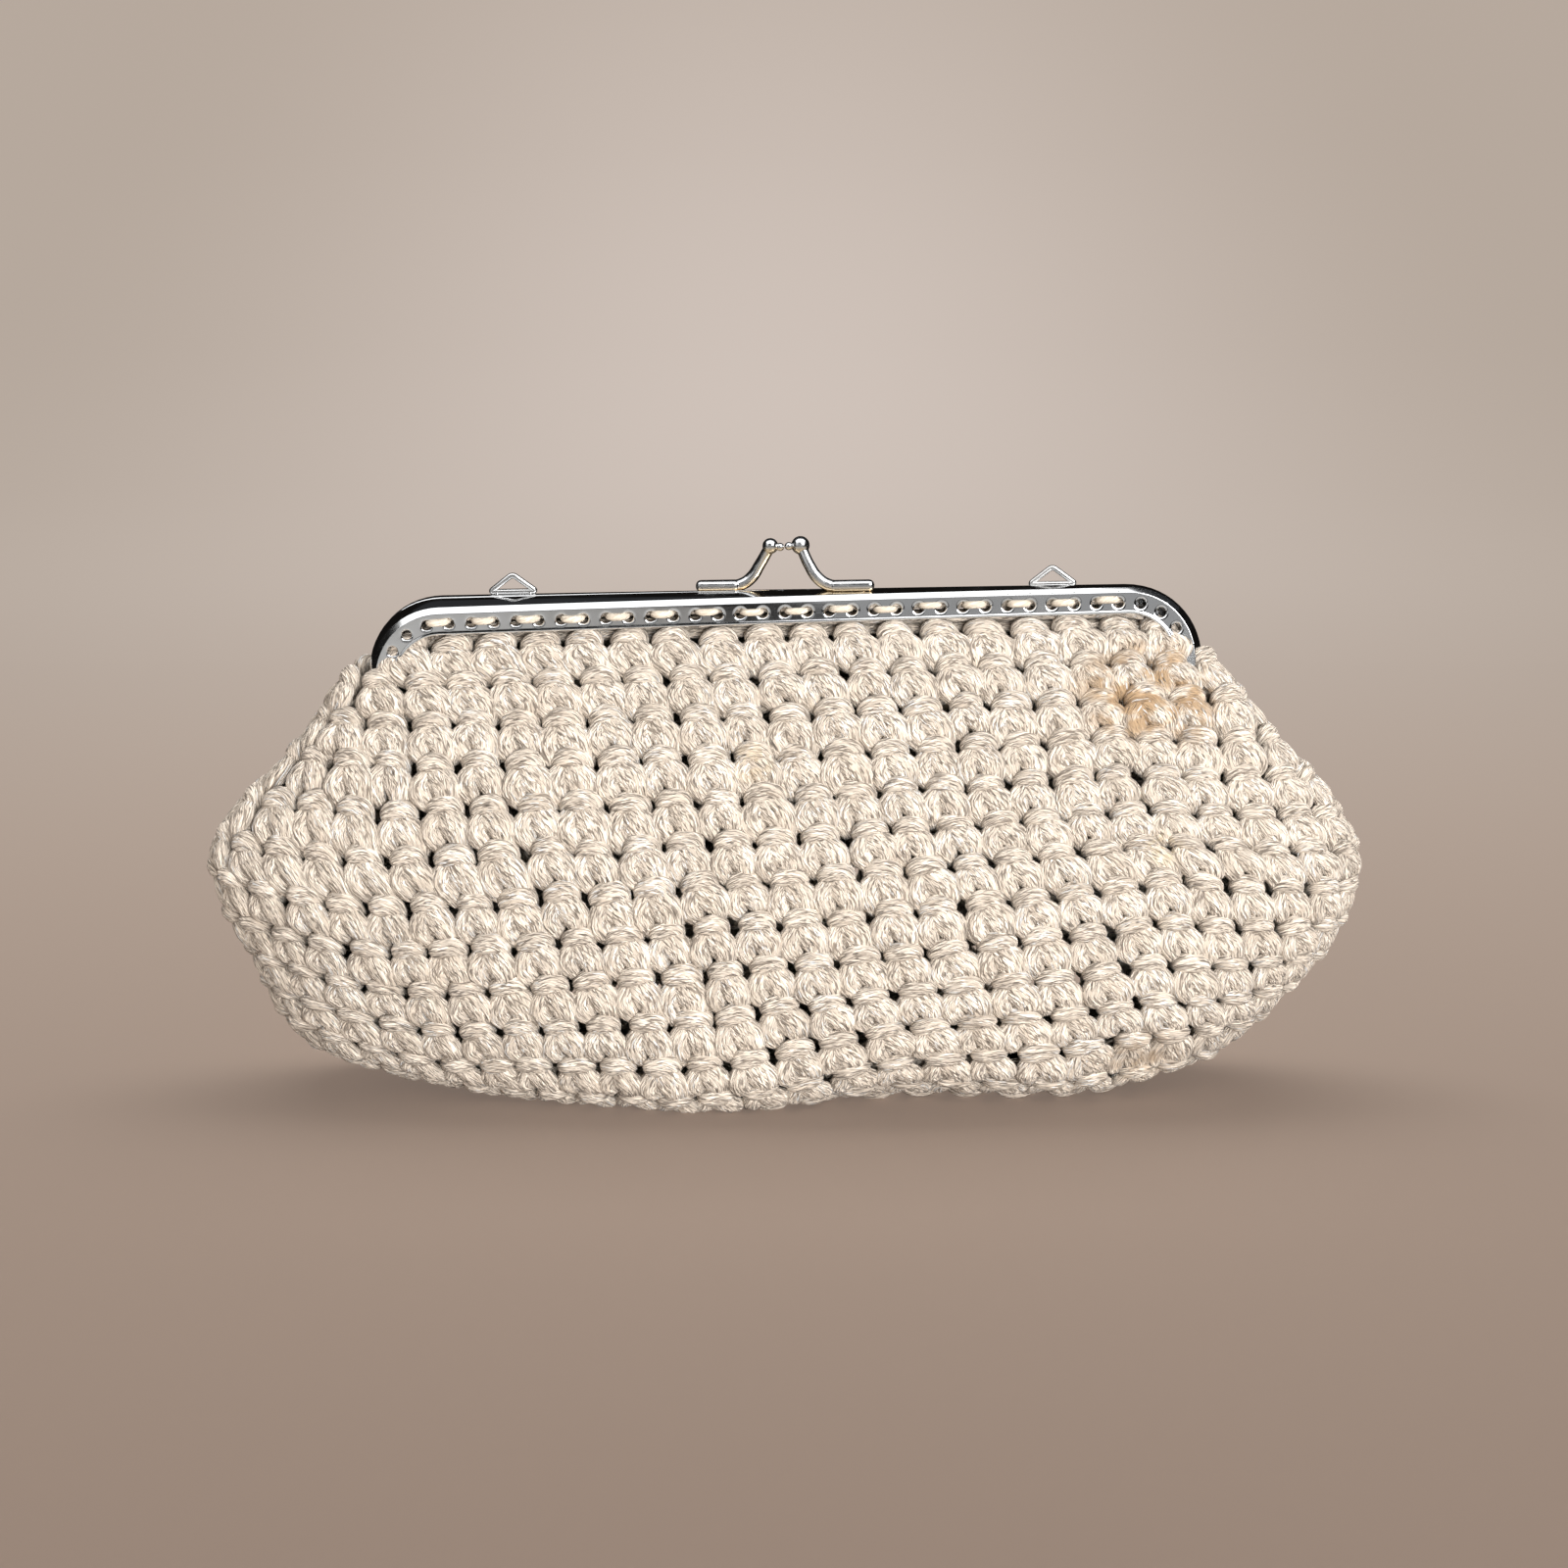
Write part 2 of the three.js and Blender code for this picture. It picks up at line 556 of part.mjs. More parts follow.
// The crocheted body: a wall of stitches, open where the frame sits, with a rim up inside each channel
function crochetBody(frameGroup) {
  const levels = Array.from({ length: LEVEL_RINGS }, (unused, k) => levelAt(k / (LEVEL_RINGS - 1)));
  const rings = levels.map((level) => bodyRing(level, frameGroup));
  const outer = skin(rings, stripCap(RING_POINTS));
  const normal = new THREE.Vector3();
  const innerRings = rings.slice(0, -2).map((ring, k) => ring.map((point, i) => {
    normal.fromBufferAttribute(outer.attributes.normal, k * RING_POINTS + i);
    return point.clone().addScaledVector(normal, -levels[k].wall);
  }));
  const mouth = {
    height: FRAME_TOP + MOUTH.above,
    left: MOUTH.halfLength,
    right: MOUTH.halfLength,
    depth: MOUTH.halfWidth,
    power: MOUTH.power,
  };
  innerRings.push(bodyRing(mouth, frameGroup));
  let solid = toSolid(outer).subtract(toSolid(skin(innerRings, stripCap(RING_POINTS))));
  frameRoom().forEach((geometry) => {
    solid = solid.subtract(toSolid(geometry.applyMatrix4(frameGroup.matrix)));
  });
  [-1, 1].forEach((side) => {
    const size = [2 * RIM.halfLength, RIM.outer - RIM.inner, RIM.bottom - RIM.top];
    const rim = new THREE.BoxGeometry(...size, STRAIGHT_STEPS)
      .translate(0, (side * (RIM.outer + RIM.inner)) / 2, -(RIM.bottom + RIM.top) / 2);
    solid = solid.add(toSolid(twistAll(rim).applyMatrix4(frameGroup.matrix)));
  });
  return toGeometry(solid);
}

function piece(name, geometry, finish) {
  const mesh = new THREE.Mesh(geometry, new THREE.MeshStandardMaterial(finish));
  mesh.name = name;
  return mesh;
}

const CORD_FINISH = { color: 0xd8cab8, roughness: 0.92, metalness: 0 };
const CHROME_FINISH = { color: 0xd3d5d8, roughness: 0.14, metalness: 1 };

const bag = new THREE.Group();
const frame = new THREE.Group();
frame.position.set(0, 0, FRAME_TOP);
frame.rotation.y = -FRAME_LEAN;
frame.updateMatrix();
bag.add(frame);

frame.add(
  piece('clasp_arm_left', claspArm(1, -1, KNOBS.left), CHROME_FINISH),
  piece('clasp_arm_right', claspArm(-1, 1, KNOBS.right), CHROME_FINISH),
  piece('chain_loop_left', chainLoop(LOOP_PLACES.left), CHROME_FINISH),
  piece('chain_loop_right', chainLoop(LOOP_PLACES.right), CHROME_FINISH),
  piece('frame_front', frameHalf(-1), CHROME_FINISH),
  piece('frame_back', frameHalf(1), CHROME_FINISH),
  piece('hinge_rivet_left', hingeRivet(-1), CHROME_FINISH),
  piece('hinge_rivet_right', hingeRivet(1), CHROME_FINISH),
);
bag.add(piece('crochet_body', crochetBody(frame), CORD_FINISH));

export default bag;
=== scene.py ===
# %% [markdown]
# # A crochet clutch bag
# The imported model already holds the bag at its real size: a hollow crocheted body, a hinged
# frame of pressed metal, a kiss lock and two loops for a chain. This lesson dresses it. The model
# is loaded first and never moved, and every new piece is made around it, in metres.

# %% Load the fixed frame
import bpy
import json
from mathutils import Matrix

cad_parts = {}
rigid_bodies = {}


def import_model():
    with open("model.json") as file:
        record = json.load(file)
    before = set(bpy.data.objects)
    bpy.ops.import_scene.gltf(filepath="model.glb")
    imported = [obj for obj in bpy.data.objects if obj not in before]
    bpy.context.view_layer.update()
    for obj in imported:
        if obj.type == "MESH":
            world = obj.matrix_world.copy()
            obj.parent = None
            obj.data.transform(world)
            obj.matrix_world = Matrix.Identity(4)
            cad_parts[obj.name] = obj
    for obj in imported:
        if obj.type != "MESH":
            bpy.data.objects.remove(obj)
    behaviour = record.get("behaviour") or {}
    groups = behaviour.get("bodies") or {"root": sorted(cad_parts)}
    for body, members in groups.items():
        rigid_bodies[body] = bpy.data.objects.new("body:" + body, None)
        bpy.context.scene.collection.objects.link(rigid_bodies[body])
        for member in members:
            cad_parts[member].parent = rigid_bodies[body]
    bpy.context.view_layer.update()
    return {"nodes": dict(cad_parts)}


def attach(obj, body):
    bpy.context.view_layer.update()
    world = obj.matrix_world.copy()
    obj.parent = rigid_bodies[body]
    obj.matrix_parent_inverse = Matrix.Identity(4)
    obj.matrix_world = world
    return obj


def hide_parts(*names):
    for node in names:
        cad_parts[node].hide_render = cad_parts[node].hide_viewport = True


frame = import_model()
print("nodes:", sorted(frame["nodes"]))

# %% [markdown]
# Sizes below are in millimetres, as on a maker's drawing, and become metres when a mesh is made.
# Operators act on whatever is selected, and the loaded nodes are selected, so each step starts by
# deselecting everything.

# %% Units and small helpers
import json
import math

import bpy
import numpy as np
from mathutils import Matrix, Vector

MM = 0.001
SEED = 41
rng = np.random.default_rng(SEED)


def deselect_all():
    bpy.ops.object.select_all(action="DESELECT")


def select_only(*objects):
    deselect_all()
    for each in objects:
        each.select_set(True)
    bpy.context.view_layer.objects.active = objects[0]


def count_triangles(piece):
    return sum(len(face.vertices) - 2 for face in piece.data.polygons)


def finish_piece(piece, name, material, slot, *nodes):
    piece.name = name
    piece.data.name = name
    piece.data.materials.clear()
    piece.data.materials.append(material)
    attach(piece, "root")
    if nodes:
        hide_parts(*nodes)
    print(name, "has", count_triangles(piece), "triangles")


deselect_all()
print("random draws start from seed", SEED)

# %% [markdown]
# The camera stands where the photograph was taken from: ten degrees above the table, square to the
# front, with a 60 mm lens. It aims at a point a little above the bag's middle.

# %% Camera
LENS = 60
AIM = Vector((-0.2, 0, 74.4))
CAMERA_DISTANCE = 634.9
CAMERA_ELEVATION = math.radians(10)

back_off = Vector((0, -math.cos(CAMERA_ELEVATION), math.sin(CAMERA_ELEVATION)))
bpy.ops.object.camera_add(
    location=(AIM + CAMERA_DISTANCE * back_off) * MM,
    rotation=(math.pi / 2 - CAMERA_ELEVATION, 0, 0),
)
camera = bpy.context.object
camera.name = "photo_camera"
camera.data.lens = LENS
bpy.context.scene.camera = camera
print("camera at", [round(v, 4) for v in camera.location])

# %% [markdown]
# ## Finishes
# Every finish is a small tree of shader nodes. Adding and wiring a node takes several lines, so
# short helpers do it: each adds one node, sets or links its inputs by name and returns its output.

# %% Node helpers
def connect(tree, value, socket):
    if isinstance(value, bpy.types.NodeSocket):
        tree.links.new(value, socket)
    else:
        socket.default_value = value


def set_inputs(tree, node, **values):
    for title, value in values.items():
        connect(tree, value, node.inputs[title.replace("_", " ")])


def new_node(tree, kind, **values):
    made = tree.nodes.new("ShaderNode" + kind)
    set_inputs(tree, made, **values)
    return made


def value_node(tree, operation, *values):
    made = new_node(tree, "Math")
    made.operation = operation
    for socket, value in zip(made.inputs, values):
        connect(tree, value, socket)
    return made.outputs["Value"]


def scaled(tree, value, share):
    return value_node(tree, "MULTIPLY", value, share)


def noise_node(tree, vector, scale, detail=2.0, roughness=0.5):
    made = new_node(
        tree, "TexNoise", Vector=vector, Scale=scale, Detail=detail, Roughness=roughness
    )
    return made.outputs["Fac"]


def step_node(tree, value, low, high):
    made = new_node(tree, "MapRange", Value=value, From_Min=low, From_Max=high)
    made.interpolation_type = "SMOOTHSTEP"
    return made.outputs["Result"]


def colour_node(tree, share, *colours):
    made = new_node(tree, "Mix")
    made.data_type = "RGBA"
    tree.links.new(share, made.inputs["Factor"])
    for socket, colour in zip(made.inputs[6:8], colours):
        plain = isinstance(colour, (tuple, list))
        connect(tree, (*colour, 1) if plain else colour, socket)
    return made.outputs[2]


def tinted(tree, colour, mask, share, tint):
    return colour_node(tree, scaled(tree, mask, share), colour, tint)


def object_place(tree):
    return new_node(tree, "TexCoord").outputs["Object"]


def new_group(name, numbers, results):
    group = bpy.data.node_groups.new(name, "ShaderNodeTree")
    for title, value in numbers:
        socket = group.interface.new_socket(title, in_out="INPUT", socket_type="NodeSocketFloat")
        socket.default_value = value
    for title in results:
        group.interface.new_socket(title, in_out="OUTPUT", socket_type="NodeSocketFloat")
    return group, group.nodes.new("NodeGroupInput"), group.nodes.new("NodeGroupOutput")


def place_group(tree, group, **values):
    made = new_node(tree, "Group")
    made.node_tree = group
    set_inputs(tree, made, **values)
    return made.outputs


print("node helpers ready")

# %% [markdown]
# Cotton cord is a bundle of fine strands with a slight twist. Its look repeats in the crochet cord
# and in the sewing thread, so it is one node group. It reads the map that each cord is given when
# it is made: U runs along the cord and V round it, both in millimetres. Noise that is drawn out
# along U looks like fibres. The group puts out a height for the strands and masks of paler streaks,
# dark hairs, darker flecks and bright glints.

# %% Strand group
STRAND_MAP = "strand"
STRAND_RESULTS = ("Height", "Streak", "Hair", "Fleck", "Glint")
# Each row has the fibres' lean, their length in mm, their layer of noise and its detail
FIBRES = {
    "straight": (0.0, 4.0, 3.7, 3.0),
    "left": (-0.7, 3.0, 6.4, 1.0),
    "right": (0.45, 2.8, 11.9, 1.0),
    "dark_left": (-0.7, 2.4, 21.7, 1.0),
    "dark_right": (0.35, 2.6, 27.2, 1.0),
    "fleck": (-0.6, 2.2, 33.1, 1.0),
    "glint": (0.0, 2.2, 39.4, 1.0),
}
FIBRE_STEPS = {
    "ridge": (0.42, 0.68),
    "straight": (0.36, 0.64),
    "dark_left": (0.55, 0.64),
    "dark_right": (0.57, 0.66),
    "fleck": (0.63, 0.69),
    "glint": (0.62, 0.68),
}


def make_strand_group():
    numbers = (("Strand width", 0.5), ("Twist", 0.25))
    group, given, out = new_group("spun_strands", numbers, STRAND_RESULTS)
    place = new_node(group, "UVMap")
    place.uv_map = STRAND_MAP
    split = new_node(group, "SeparateXYZ", Vector=place.outputs["UV"])
    along = split.outputs["X"]
    twist = given.outputs["Twist"]
    round_it = value_node(group, "MULTIPLY_ADD", along, twist, split.outputs["Y"])
    strands = value_node(group, "DIVIDE", round_it, given.outputs["Strand width"])

    def fibres(lean, length, layer, detail):
        leaning = value_node(group, "MULTIPLY_ADD", along, lean, strands)
        slow = value_node(group, "DIVIDE", along, length)
        place = new_node(group, "CombineXYZ", X=slow, Y=leaning, Z=layer)
        return noise_node(group, place.outputs["Vector"], 1.0, detail)

    noise = {name: fibres(*row) for name, row in FIBRES.items()}
    crossing = value_node(group, "MAXIMUM", noise["left"], noise["right"])
    noise["ridge"] = value_node(group, "MAXIMUM", noise["straight"], crossing)
    masks = {name: step_node(group, noise[name], *step) for name, step in FIBRE_STEPS.items()}
    hairs = value_node(group, "MAXIMUM", masks["dark_left"], masks["dark_right"])
    values = (masks["ridge"], masks["straight"], hairs, masks["fleck"], masks["glint"])
    for title, value in zip(STRAND_RESULTS, values):
        group.links.new(value, out.inputs[title])
    return group


spun_strands = make_strand_group()
print("strand group:", [socket.name for socket in spun_strands.interface.items_tree])

# %% [markdown]
# The crochet cord is oatmeal cotton with a fine silver thread in it. Years of use left a tan stain
# under the right end of the frame and faint yellow spots, and painted shade darkens the fold low on
# the right. Each stain, and that painted shade, is a soft ball of colour in the bag's own
# coordinates, broken up by noise. The colour is laid on in layers, from the cotton's own tone,
# through painted shade in the valleys between strands, to the glints of the silver thread.

# %% Crochet cord finish
CREAM = (0.90, 0.805, 0.69)
SHADE = (0.56, 0.475, 0.385)
# Painted shade for the valleys between strands, where shade falls
VALLEY_PAINTED_SHADE = (0.27, 0.215, 0.165)
HAIR = (0.15, 0.118, 0.09)
FLECK = (0.07, 0.055, 0.042)
SILVER = (0.95, 0.95, 0.94)
# Each row has the place, reach, colour and strength of a stain, or of painted shade in a fold
STAINS_AND_FOLD_SHADE = (
    ((87, -15, 99), (22, 22, 16), (0.40, 0.27, 0.155), 1.0),
    ((89, -27, 64), (6, 6, 6), (0.60, 0.47, 0.25), 0.45),
    # Painted shade: this row darkens the fold low on the right, where shade falls
    ((86, -25, 9), (13, 13, 13), (0.42, 0.30, 0.19), 0.55),
    ((-8, -24, 84), (7, 7, 7), (0.62, 0.47, 0.28), 0.35),
)
MARK_NOISE = {"scale": 3.2, "detail": 3.0, "roughness": 0.6}
MARK_PATCHES = (0.4, 0.58)
MARK_EDGE = (0.0, 0.55)
TONE = {"scale": 160.0, "share": 0.5, "streak_share": 0.45, "step": (0.18, 0.85)}
# The valley share sets the strength of the painted shade between strands
DARK_SHARES = {"valley": 0.5, "hair": 0.8, "fleck": 0.8}
GLINTS = {"scale": 90.0, "step": (0.47, 0.58), "metal": 0.5, "polish": -0.55}
COTTON_ROUGH = 0.86
SHEEN = {"Sheen_Weight": 0.12, "Sheen_Roughness": 0.5}


def stain_and_shade_mask(tree, place, middle, reach):
    move = new_node(
        tree, "Mapping", Vector=place, Location=Vector(middle) * MM, Scale=Vector(reach) * MM
    )
    move.vector_type = "TEXTURE"
    moved = move.outputs["Vector"]
    ball = new_node(tree, "TexGradient", Vector=moved)
    ball.gradient_type = "SPHERICAL"
    patchy = step_node(tree, noise_node(tree, moved, **MARK_NOISE), *MARK_PATCHES)
    return scaled(tree, step_node(tree, ball.outputs["Fac"], *MARK_EDGE), patchy)


def new_material(name):
    material = bpy.data.materials.new(name)
    material.use_nodes = True
    return material, material.node_tree, material.node_tree.nodes["Principled BSDF"]


def add_bump(tree, shader, height, depth, strength):
    bump = new_node(tree, "Bump", Height=height, Distance=depth * MM, Strength=strength)
    tree.links.new(bump.outputs["Normal"], shader.inputs["Normal"])


def make_cord_material():
    material, tree, shader = new_material("crochet_cord")
    strands = place_group(tree, spun_strands, Strand_width=0.4, Twist=0.2)
    place = object_place(tree)
    tone = noise_node(tree, place, TONE["scale"])
    streaks = scaled(tree, strands["Streak"], TONE["streak_share"])
    uneven = value_node(tree, "MULTIPLY_ADD", tone, TONE["share"], streaks)
    colour = colour_node(tree, step_node(tree, uneven, *TONE["step"]), CREAM, SHADE)
    # Painted shade: the valleys between the strands are darkened
    valley_shade = value_node(tree, "SUBTRACT", 1.0, strands["Height"])
    colour = tinted(tree, colour, valley_shade, DARK_SHARES["valley"], VALLEY_PAINTED_SHADE)
    colour = tinted(tree, colour, strands["Hair"], DARK_SHARES["hair"], HAIR)
    # Real stains, and painted shade in the fold low on the right
    for middle, reach, tint, strength in STAINS_AND_FOLD_SHADE:
        colour = tinted(tree, colour, stain_and_shade_mask(tree, place, middle, reach), strength, tint)
    colour = tinted(tree, colour, strands["Fleck"], DARK_SHARES["fleck"], FLECK)
    clusters = step_node(tree, noise_node(tree, place, GLINTS["scale"], 1.0), *GLINTS["step"])
    glint = scaled(tree, strands["Glint"], clusters)
    rough = value_node(tree, "MULTIPLY_ADD", glint, GLINTS["polish"], COTTON_ROUGH)
    colour = colour_node(tree, glint, colour, SILVER)
    metal = scaled(tree, glint, GLINTS["metal"])
    set_inputs(tree, shader, Base_Color=colour, Roughness=rough, Metallic=metal, **SHEEN)
    add_bump(tree, shader, strands["Height"], depth=0.4, strength=1.0)
    return material


cord_material = make_cord_material()
print("cord material has", len(cord_material.node_tree.nodes), "nodes")

# %% [markdown]
# The sewing thread is the same cotton, finer and more tightly twisted, so it uses the same group
# with a stronger twist and a plain cream, with painted shade in the valleys between its strands.

# %% Sewing thread finish
THREAD_PALE = (0.80, 0.72, 0.60)
THREAD_SHADE = (0.50, 0.42, 0.32)
# The valley share sets the strength of the painted shade between the thread's strands
THREAD_SHARES = {"streak": 0.6, "valley": 0.4}
THREAD_ROUGH = 0.8


def make_thread_material():
    material, tree, shader = new_material("sewing_thread")
    strands = place_group(tree, spun_strands, Strand_width=0.4, Twist=0.5)
    colour = tinted(tree, THREAD_PALE, strands["Streak"], THREAD_SHARES["streak"], THREAD_SHADE)
    # Painted shade: the valleys between the thread's strands are darkened
    valley_shade = value_node(tree, "SUBTRACT", 1.0, strands["Height"])
    colour = tinted(tree, colour, valley_shade, THREAD_SHARES["valley"], VALLEY_PAINTED_SHADE)
    set_inputs(tree, shader, Base_Color=colour, Roughness=THREAD_ROUGH)
    add_bump(tree, shader, strands["Height"], depth=0.2, strength=0.8)
    return material


thread_material = make_thread_material()
print("thread material ready")

# %% [markdown]
# The metal is chrome plate. Handling leaves faint smudges that dull the shine in patches and hair
# scratches that bend the highlights. Both come from one group. The frame is clean. The kiss lock,
# which fingers pinch, and the loops, which a chain rubs, are duller. The lock's underside has a
# brassy tone that is partly worn plate and partly a painted reflection of the warm floor.

# %% Chrome finish
CHROME = (0.83, 0.84, 0.85)
CHROME_DULL = (0.62, 0.61, 0.58)
# Brassy tone for the lock's underside: partly worn plate, partly a painted reflection of the warm
# floor
BRASS_AND_FLOOR_REFLECTION = (0.72, 0.52, 0.27)
UNDERSIDE = "underside"
UNDERSIDE_STEP = (-0.1, 0.5)
SMUDGE_STEP = (0.42, 0.72)
SMUDGE_SHARE = 0.4
SCRATCH_STRETCH = (0.12, 1.0, 1.0)
SCRATCH_TURN = (0, 0.2, 0)


def mark_underside(piece):
    shares = [-point.normal.z for point in piece.data.vertices]
    piece.data.attributes.new(UNDERSIDE, "FLOAT", "POINT").data.foreach_set("value", shares)


def make_wear_group():
    numbers = (("Smudge size", 60.0), ("Scratch size", 900.0))
    group, given, out = new_group("handling_wear", numbers, ("Smudge", "Scratch"))
    place = object_place(group)
    smudge = noise_node(group, place, given.outputs["Smudge size"], 4.0, 0.6)
    stretch = new_node(
        group, "Mapping", Vector=place, Scale=SCRATCH_STRETCH, Rotation=SCRATCH_TURN
    )
    scratch = noise_node(
        group, stretch.outputs["Vector"], given.outputs["Scratch size"], 3.0, 0.7
    )
    group.links.new(step_node(group, smudge, *SMUDGE_STEP), out.inputs["Smudge"])
    group.links.new(scratch, out.inputs["Scratch"])
    return group


handling_wear = make_wear_group()


def make_chrome_material(name, smudge_size, polish, dulled, brass_and_reflection_share):
    material, tree, shader = new_material(name)
    wear = place_group(tree, handling_wear, Smudge_size=smudge_size)
    colour = tinted(tree, CHROME, wear["Smudge"], SMUDGE_SHARE, CHROME_DULL)
    # Downward faces get a brassy tint, partly worn plate and partly a painted reflection of the
    # floor
    if brass_and_reflection_share:
        facing = new_node(tree, "Attribute")
        facing.attribute_name = UNDERSIDE
        under = step_node(tree, facing.outputs["Fac"], *UNDERSIDE_STEP)
        colour = tinted(tree, colour, under, brass_and_reflection_share, BRASS_AND_FLOOR_REFLECTION)
    rough = value_node(tree, "MULTIPLY_ADD", wear["Smudge"], dulled, polish)
    set_inputs(tree, shader, Base_Color=colour, Roughness=rough, Metallic=1.0)
    add_bump(tree, shader, wear["Scratch"], depth=0.006, strength=0.35)
    return material


chrome_material = make_chrome_material("polished_chrome", 60.0, 0.08, 0.16, 0.0)
clasp_material = make_chrome_material("pinched_chrome", 140.0, 0.18, 0.2, 0.8)
print("chrome materials:", chrome_material.name, clasp_material.name)

# %% [markdown]
# ## The shape of the bag
# The crochet has to lie on the body that the frame holds. That body is a stack of level outlines:
# how far each reaches left, right and towards the front, and how square it is. The closed frame is
# sprung, so its top is twisted about the hinges, and the body follows it near the mouth. The same
# short tables as the model's are used here, so the stitches lie on it without any fitting.

# %% Body surface
FRAME_TOP = 121.7
FRAME_HALF_WIDTH = 100
FRAME_LEAN = math.radians(0.9)
FRAME_TWIST = math.radians(10)
HINGE_DROP = 24.5
# Each level has its height, its reach to the left, to the right and in depth, and its power
LEVELS = np.array((
    (0, 101, 98, 14, 2.8),
    (1.4, 110, 104.5, 21.5, 2.7),
    (5, 117.5, 110.5, 28, 2.6),
    (11, 123, 116.5, 31.8, 2.5),
    (20, 127, 124, 33.6, 2.5),
    (32, 131, 132.5, 34, 2.5),
    (45, 137, 138.3, 32.8, 2.5),
    (58, 140, 140.4, 30.2, 2.6),
    (70, 133.5, 134, 26.8, 2.7),
    (82, 122.5, 123, 22.6, 3),
    (93.5, 114, 112, 18.2, 3.5),
    (102, 107.5, 105, 14, 4),
    (108.4, 101.5, 101, 10.2, 4.4),
    (113.6, 93, 93, 7, 5),
    (116.6, 87, 87, 5, 5),
))
WIDEST_LEVEL = 7.0
LEAN_RANGE = (60, 102)
TWIST_RANGE = (84, 102)
# Each curl of the base has its side, start, reach and rise
BASE_CURLS = ((-1, 60, 61, 9.5), (1, 66, 51, 10))
CURL_POWER = 1.35
CURL_FADE = 52
# Each wave of the lower edge has its x, reach and rise
EDGE_WAVES = ((-18, 28, -4), (32, 24, 3))
WAVE_FULL = 1.4
WAVE_FADE = 40
# Each fold has its side, x, height, reach in x and z, and depth
FOLDS = (
    (-1, -18, 7, 30, 12, -2),
    (-1, 86, 8, 11, 5, 4.5),
    (-1, 97, 20, 18, 9, -1.6),
    (-1, 74, 92, 26, 15, 2),
    (-1, -58, 97, 24, 12, 1.5),
    (1, 30, 66, 52, 30, 1.6),
    (1, -62, 14, 26, 10, -1.2),
)


def smooth_share(value, low, high):
    share = np.clip((value - low) / (high - low), 0, 1)
    return share * share * (3 - 2 * share)


def hill(distance, reach):
    return np.exp(-((distance / reach) ** 2))


def spline_rows(rows, place):
    last = len(rows) - 1
    low = np.clip(np.floor(place).astype(int), 0, last - 1)
    t = (place - low)[..., None]
    before, first = rows[np.maximum(low - 1, 0)], rows[low]
    second, after = rows[low + 1], rows[np.minimum(low + 2, last)]
    start, stop = (second - before) / 2, (after - first) / 2
    cubic = 2 * first - 2 * second + start + stop
    square = -3 * first + 3 * second - 2 * start - stop
    return ((cubic * t + square) * t + start) * t + first


def rotated(a, b, angle):
    return a * np.cos(angle) - b * np.sin(angle), a * np.sin(angle) + b * np.cos(angle)


def onto_frame(points, twist_weight=1.0, lean_weight=1.0):
    x, y, z = np.moveaxis(points, -1, 0)
    y, z = rotated(y, z + HINGE_DROP, -FRAME_TWIST * x * twist_weight / FRAME_HALF_WIDTH)
    x, z = rotated(x, z - HINGE_DROP, FRAME_LEAN * lean_weight)
    return np.stack((x, y, z + FRAME_TOP), axis=-1)


def body_points(place, turn):
    place, turn = np.broadcast_arrays(place, turn)
    row = spline_rows(LEVELS, np.maximum(place, 0))
    height, left, right, depth, power = np.moveaxis(row, -1, 0)
    inset = np.maximum(-place, 0) * LEVELS[0][3]
    left, right, depth = left - inset, right - inset, depth - inset
    along = np.cos(turn)
    face = (1 - np.abs(along) ** power) ** (1 / power)
    front = np.sin(turn) < 0
    x = along * np.where(along < 0, left, right)
    fold = sum(
        (front == (side < 0)) * depth_in * hill(x - x0, reach_x) * hill(height - h0, reach_z)
        for side, x0, h0, reach_x, reach_z, depth_in in FOLDS
    )
    y = np.where(front, -1, 1) * face * np.maximum(depth - np.where(place < 0, 0, fold), 0)
    wave = sum(rise * hill(x - x0, reach) for x0, reach, rise in EDGE_WAVES)
    wave = wave * np.minimum(1, height / WAVE_FULL) * np.maximum(0, 1 - height / WAVE_FADE)
    curl = sum(
        rise * (np.maximum(0, side * x - start) / reach) ** CURL_POWER
        for side, start, reach, rise in BASE_CURLS
    )
    z = np.maximum(0, height + wave * np.where(front, face, 0))
    z = z + curl * np.maximum(0, 1 - height / CURL_FADE) ** 2
    twist = smooth_share(height, *TWIST_RANGE)
    lean = smooth_share(height, *LEAN_RANGE)
    return onto_frame(np.stack((x, y, z - FRAME_TOP), axis=-1), twist, lean)


widest = body_points(np.array(WIDEST_LEVEL), np.array((0, math.pi)))
print("widest level reaches", widest[:, 0].round(1), "mm")

# %% [markdown]
# Crochet is worked in rounds. To space the stitches evenly the surface is measured like cloth: one
# direction runs round the bag as a share of the whole round, starting at the middle of the front,
# and the other climbs from the middle of the base to the mouth, in millimetres.

# %% Cloth coordinates
LEVEL_SAMPLES = 481
ROUND_SAMPLES = 1441
CLIMB_SAMPLES = 421
FRONT_SHARE = 0.08
TINY = 1e-9


def even_rounds():
    places = np.linspace(-1, len(LEVELS) - 1, LEVEL_SAMPLES)
    turns = np.linspace(-math.pi / 2, 1.5 * math.pi, ROUND_SAMPLES)
    rough = body_points(places[:, None], turns[None, :])
    steps = np.linalg.norm(np.diff(rough, axis=1), axis=2)
    walked = np.concatenate((np.zeros((LEVEL_SAMPLES, 1)), np.cumsum(steps, axis=1)), axis=1)
    shares = np.linspace(0, 1, ROUND_SAMPLES)
    even = np.empty_like(rough)
    for k in range(LEVEL_SAMPLES):
        for axis in range(3):
            even[k, :, axis] = np.interp(shares, walked[k] / walked[k, -1], rough[k, :, axis])
    near = (shares < FRONT_SHARE) | (shares > 1 - FRONT_SHARE)
    rises = np.linalg.norm(np.diff(even[:, near], axis=0), axis=2).mean(axis=1)
    climb = np.concatenate(((0,), np.cumsum(rises)))
    return places, even, walked[:, -1], climb


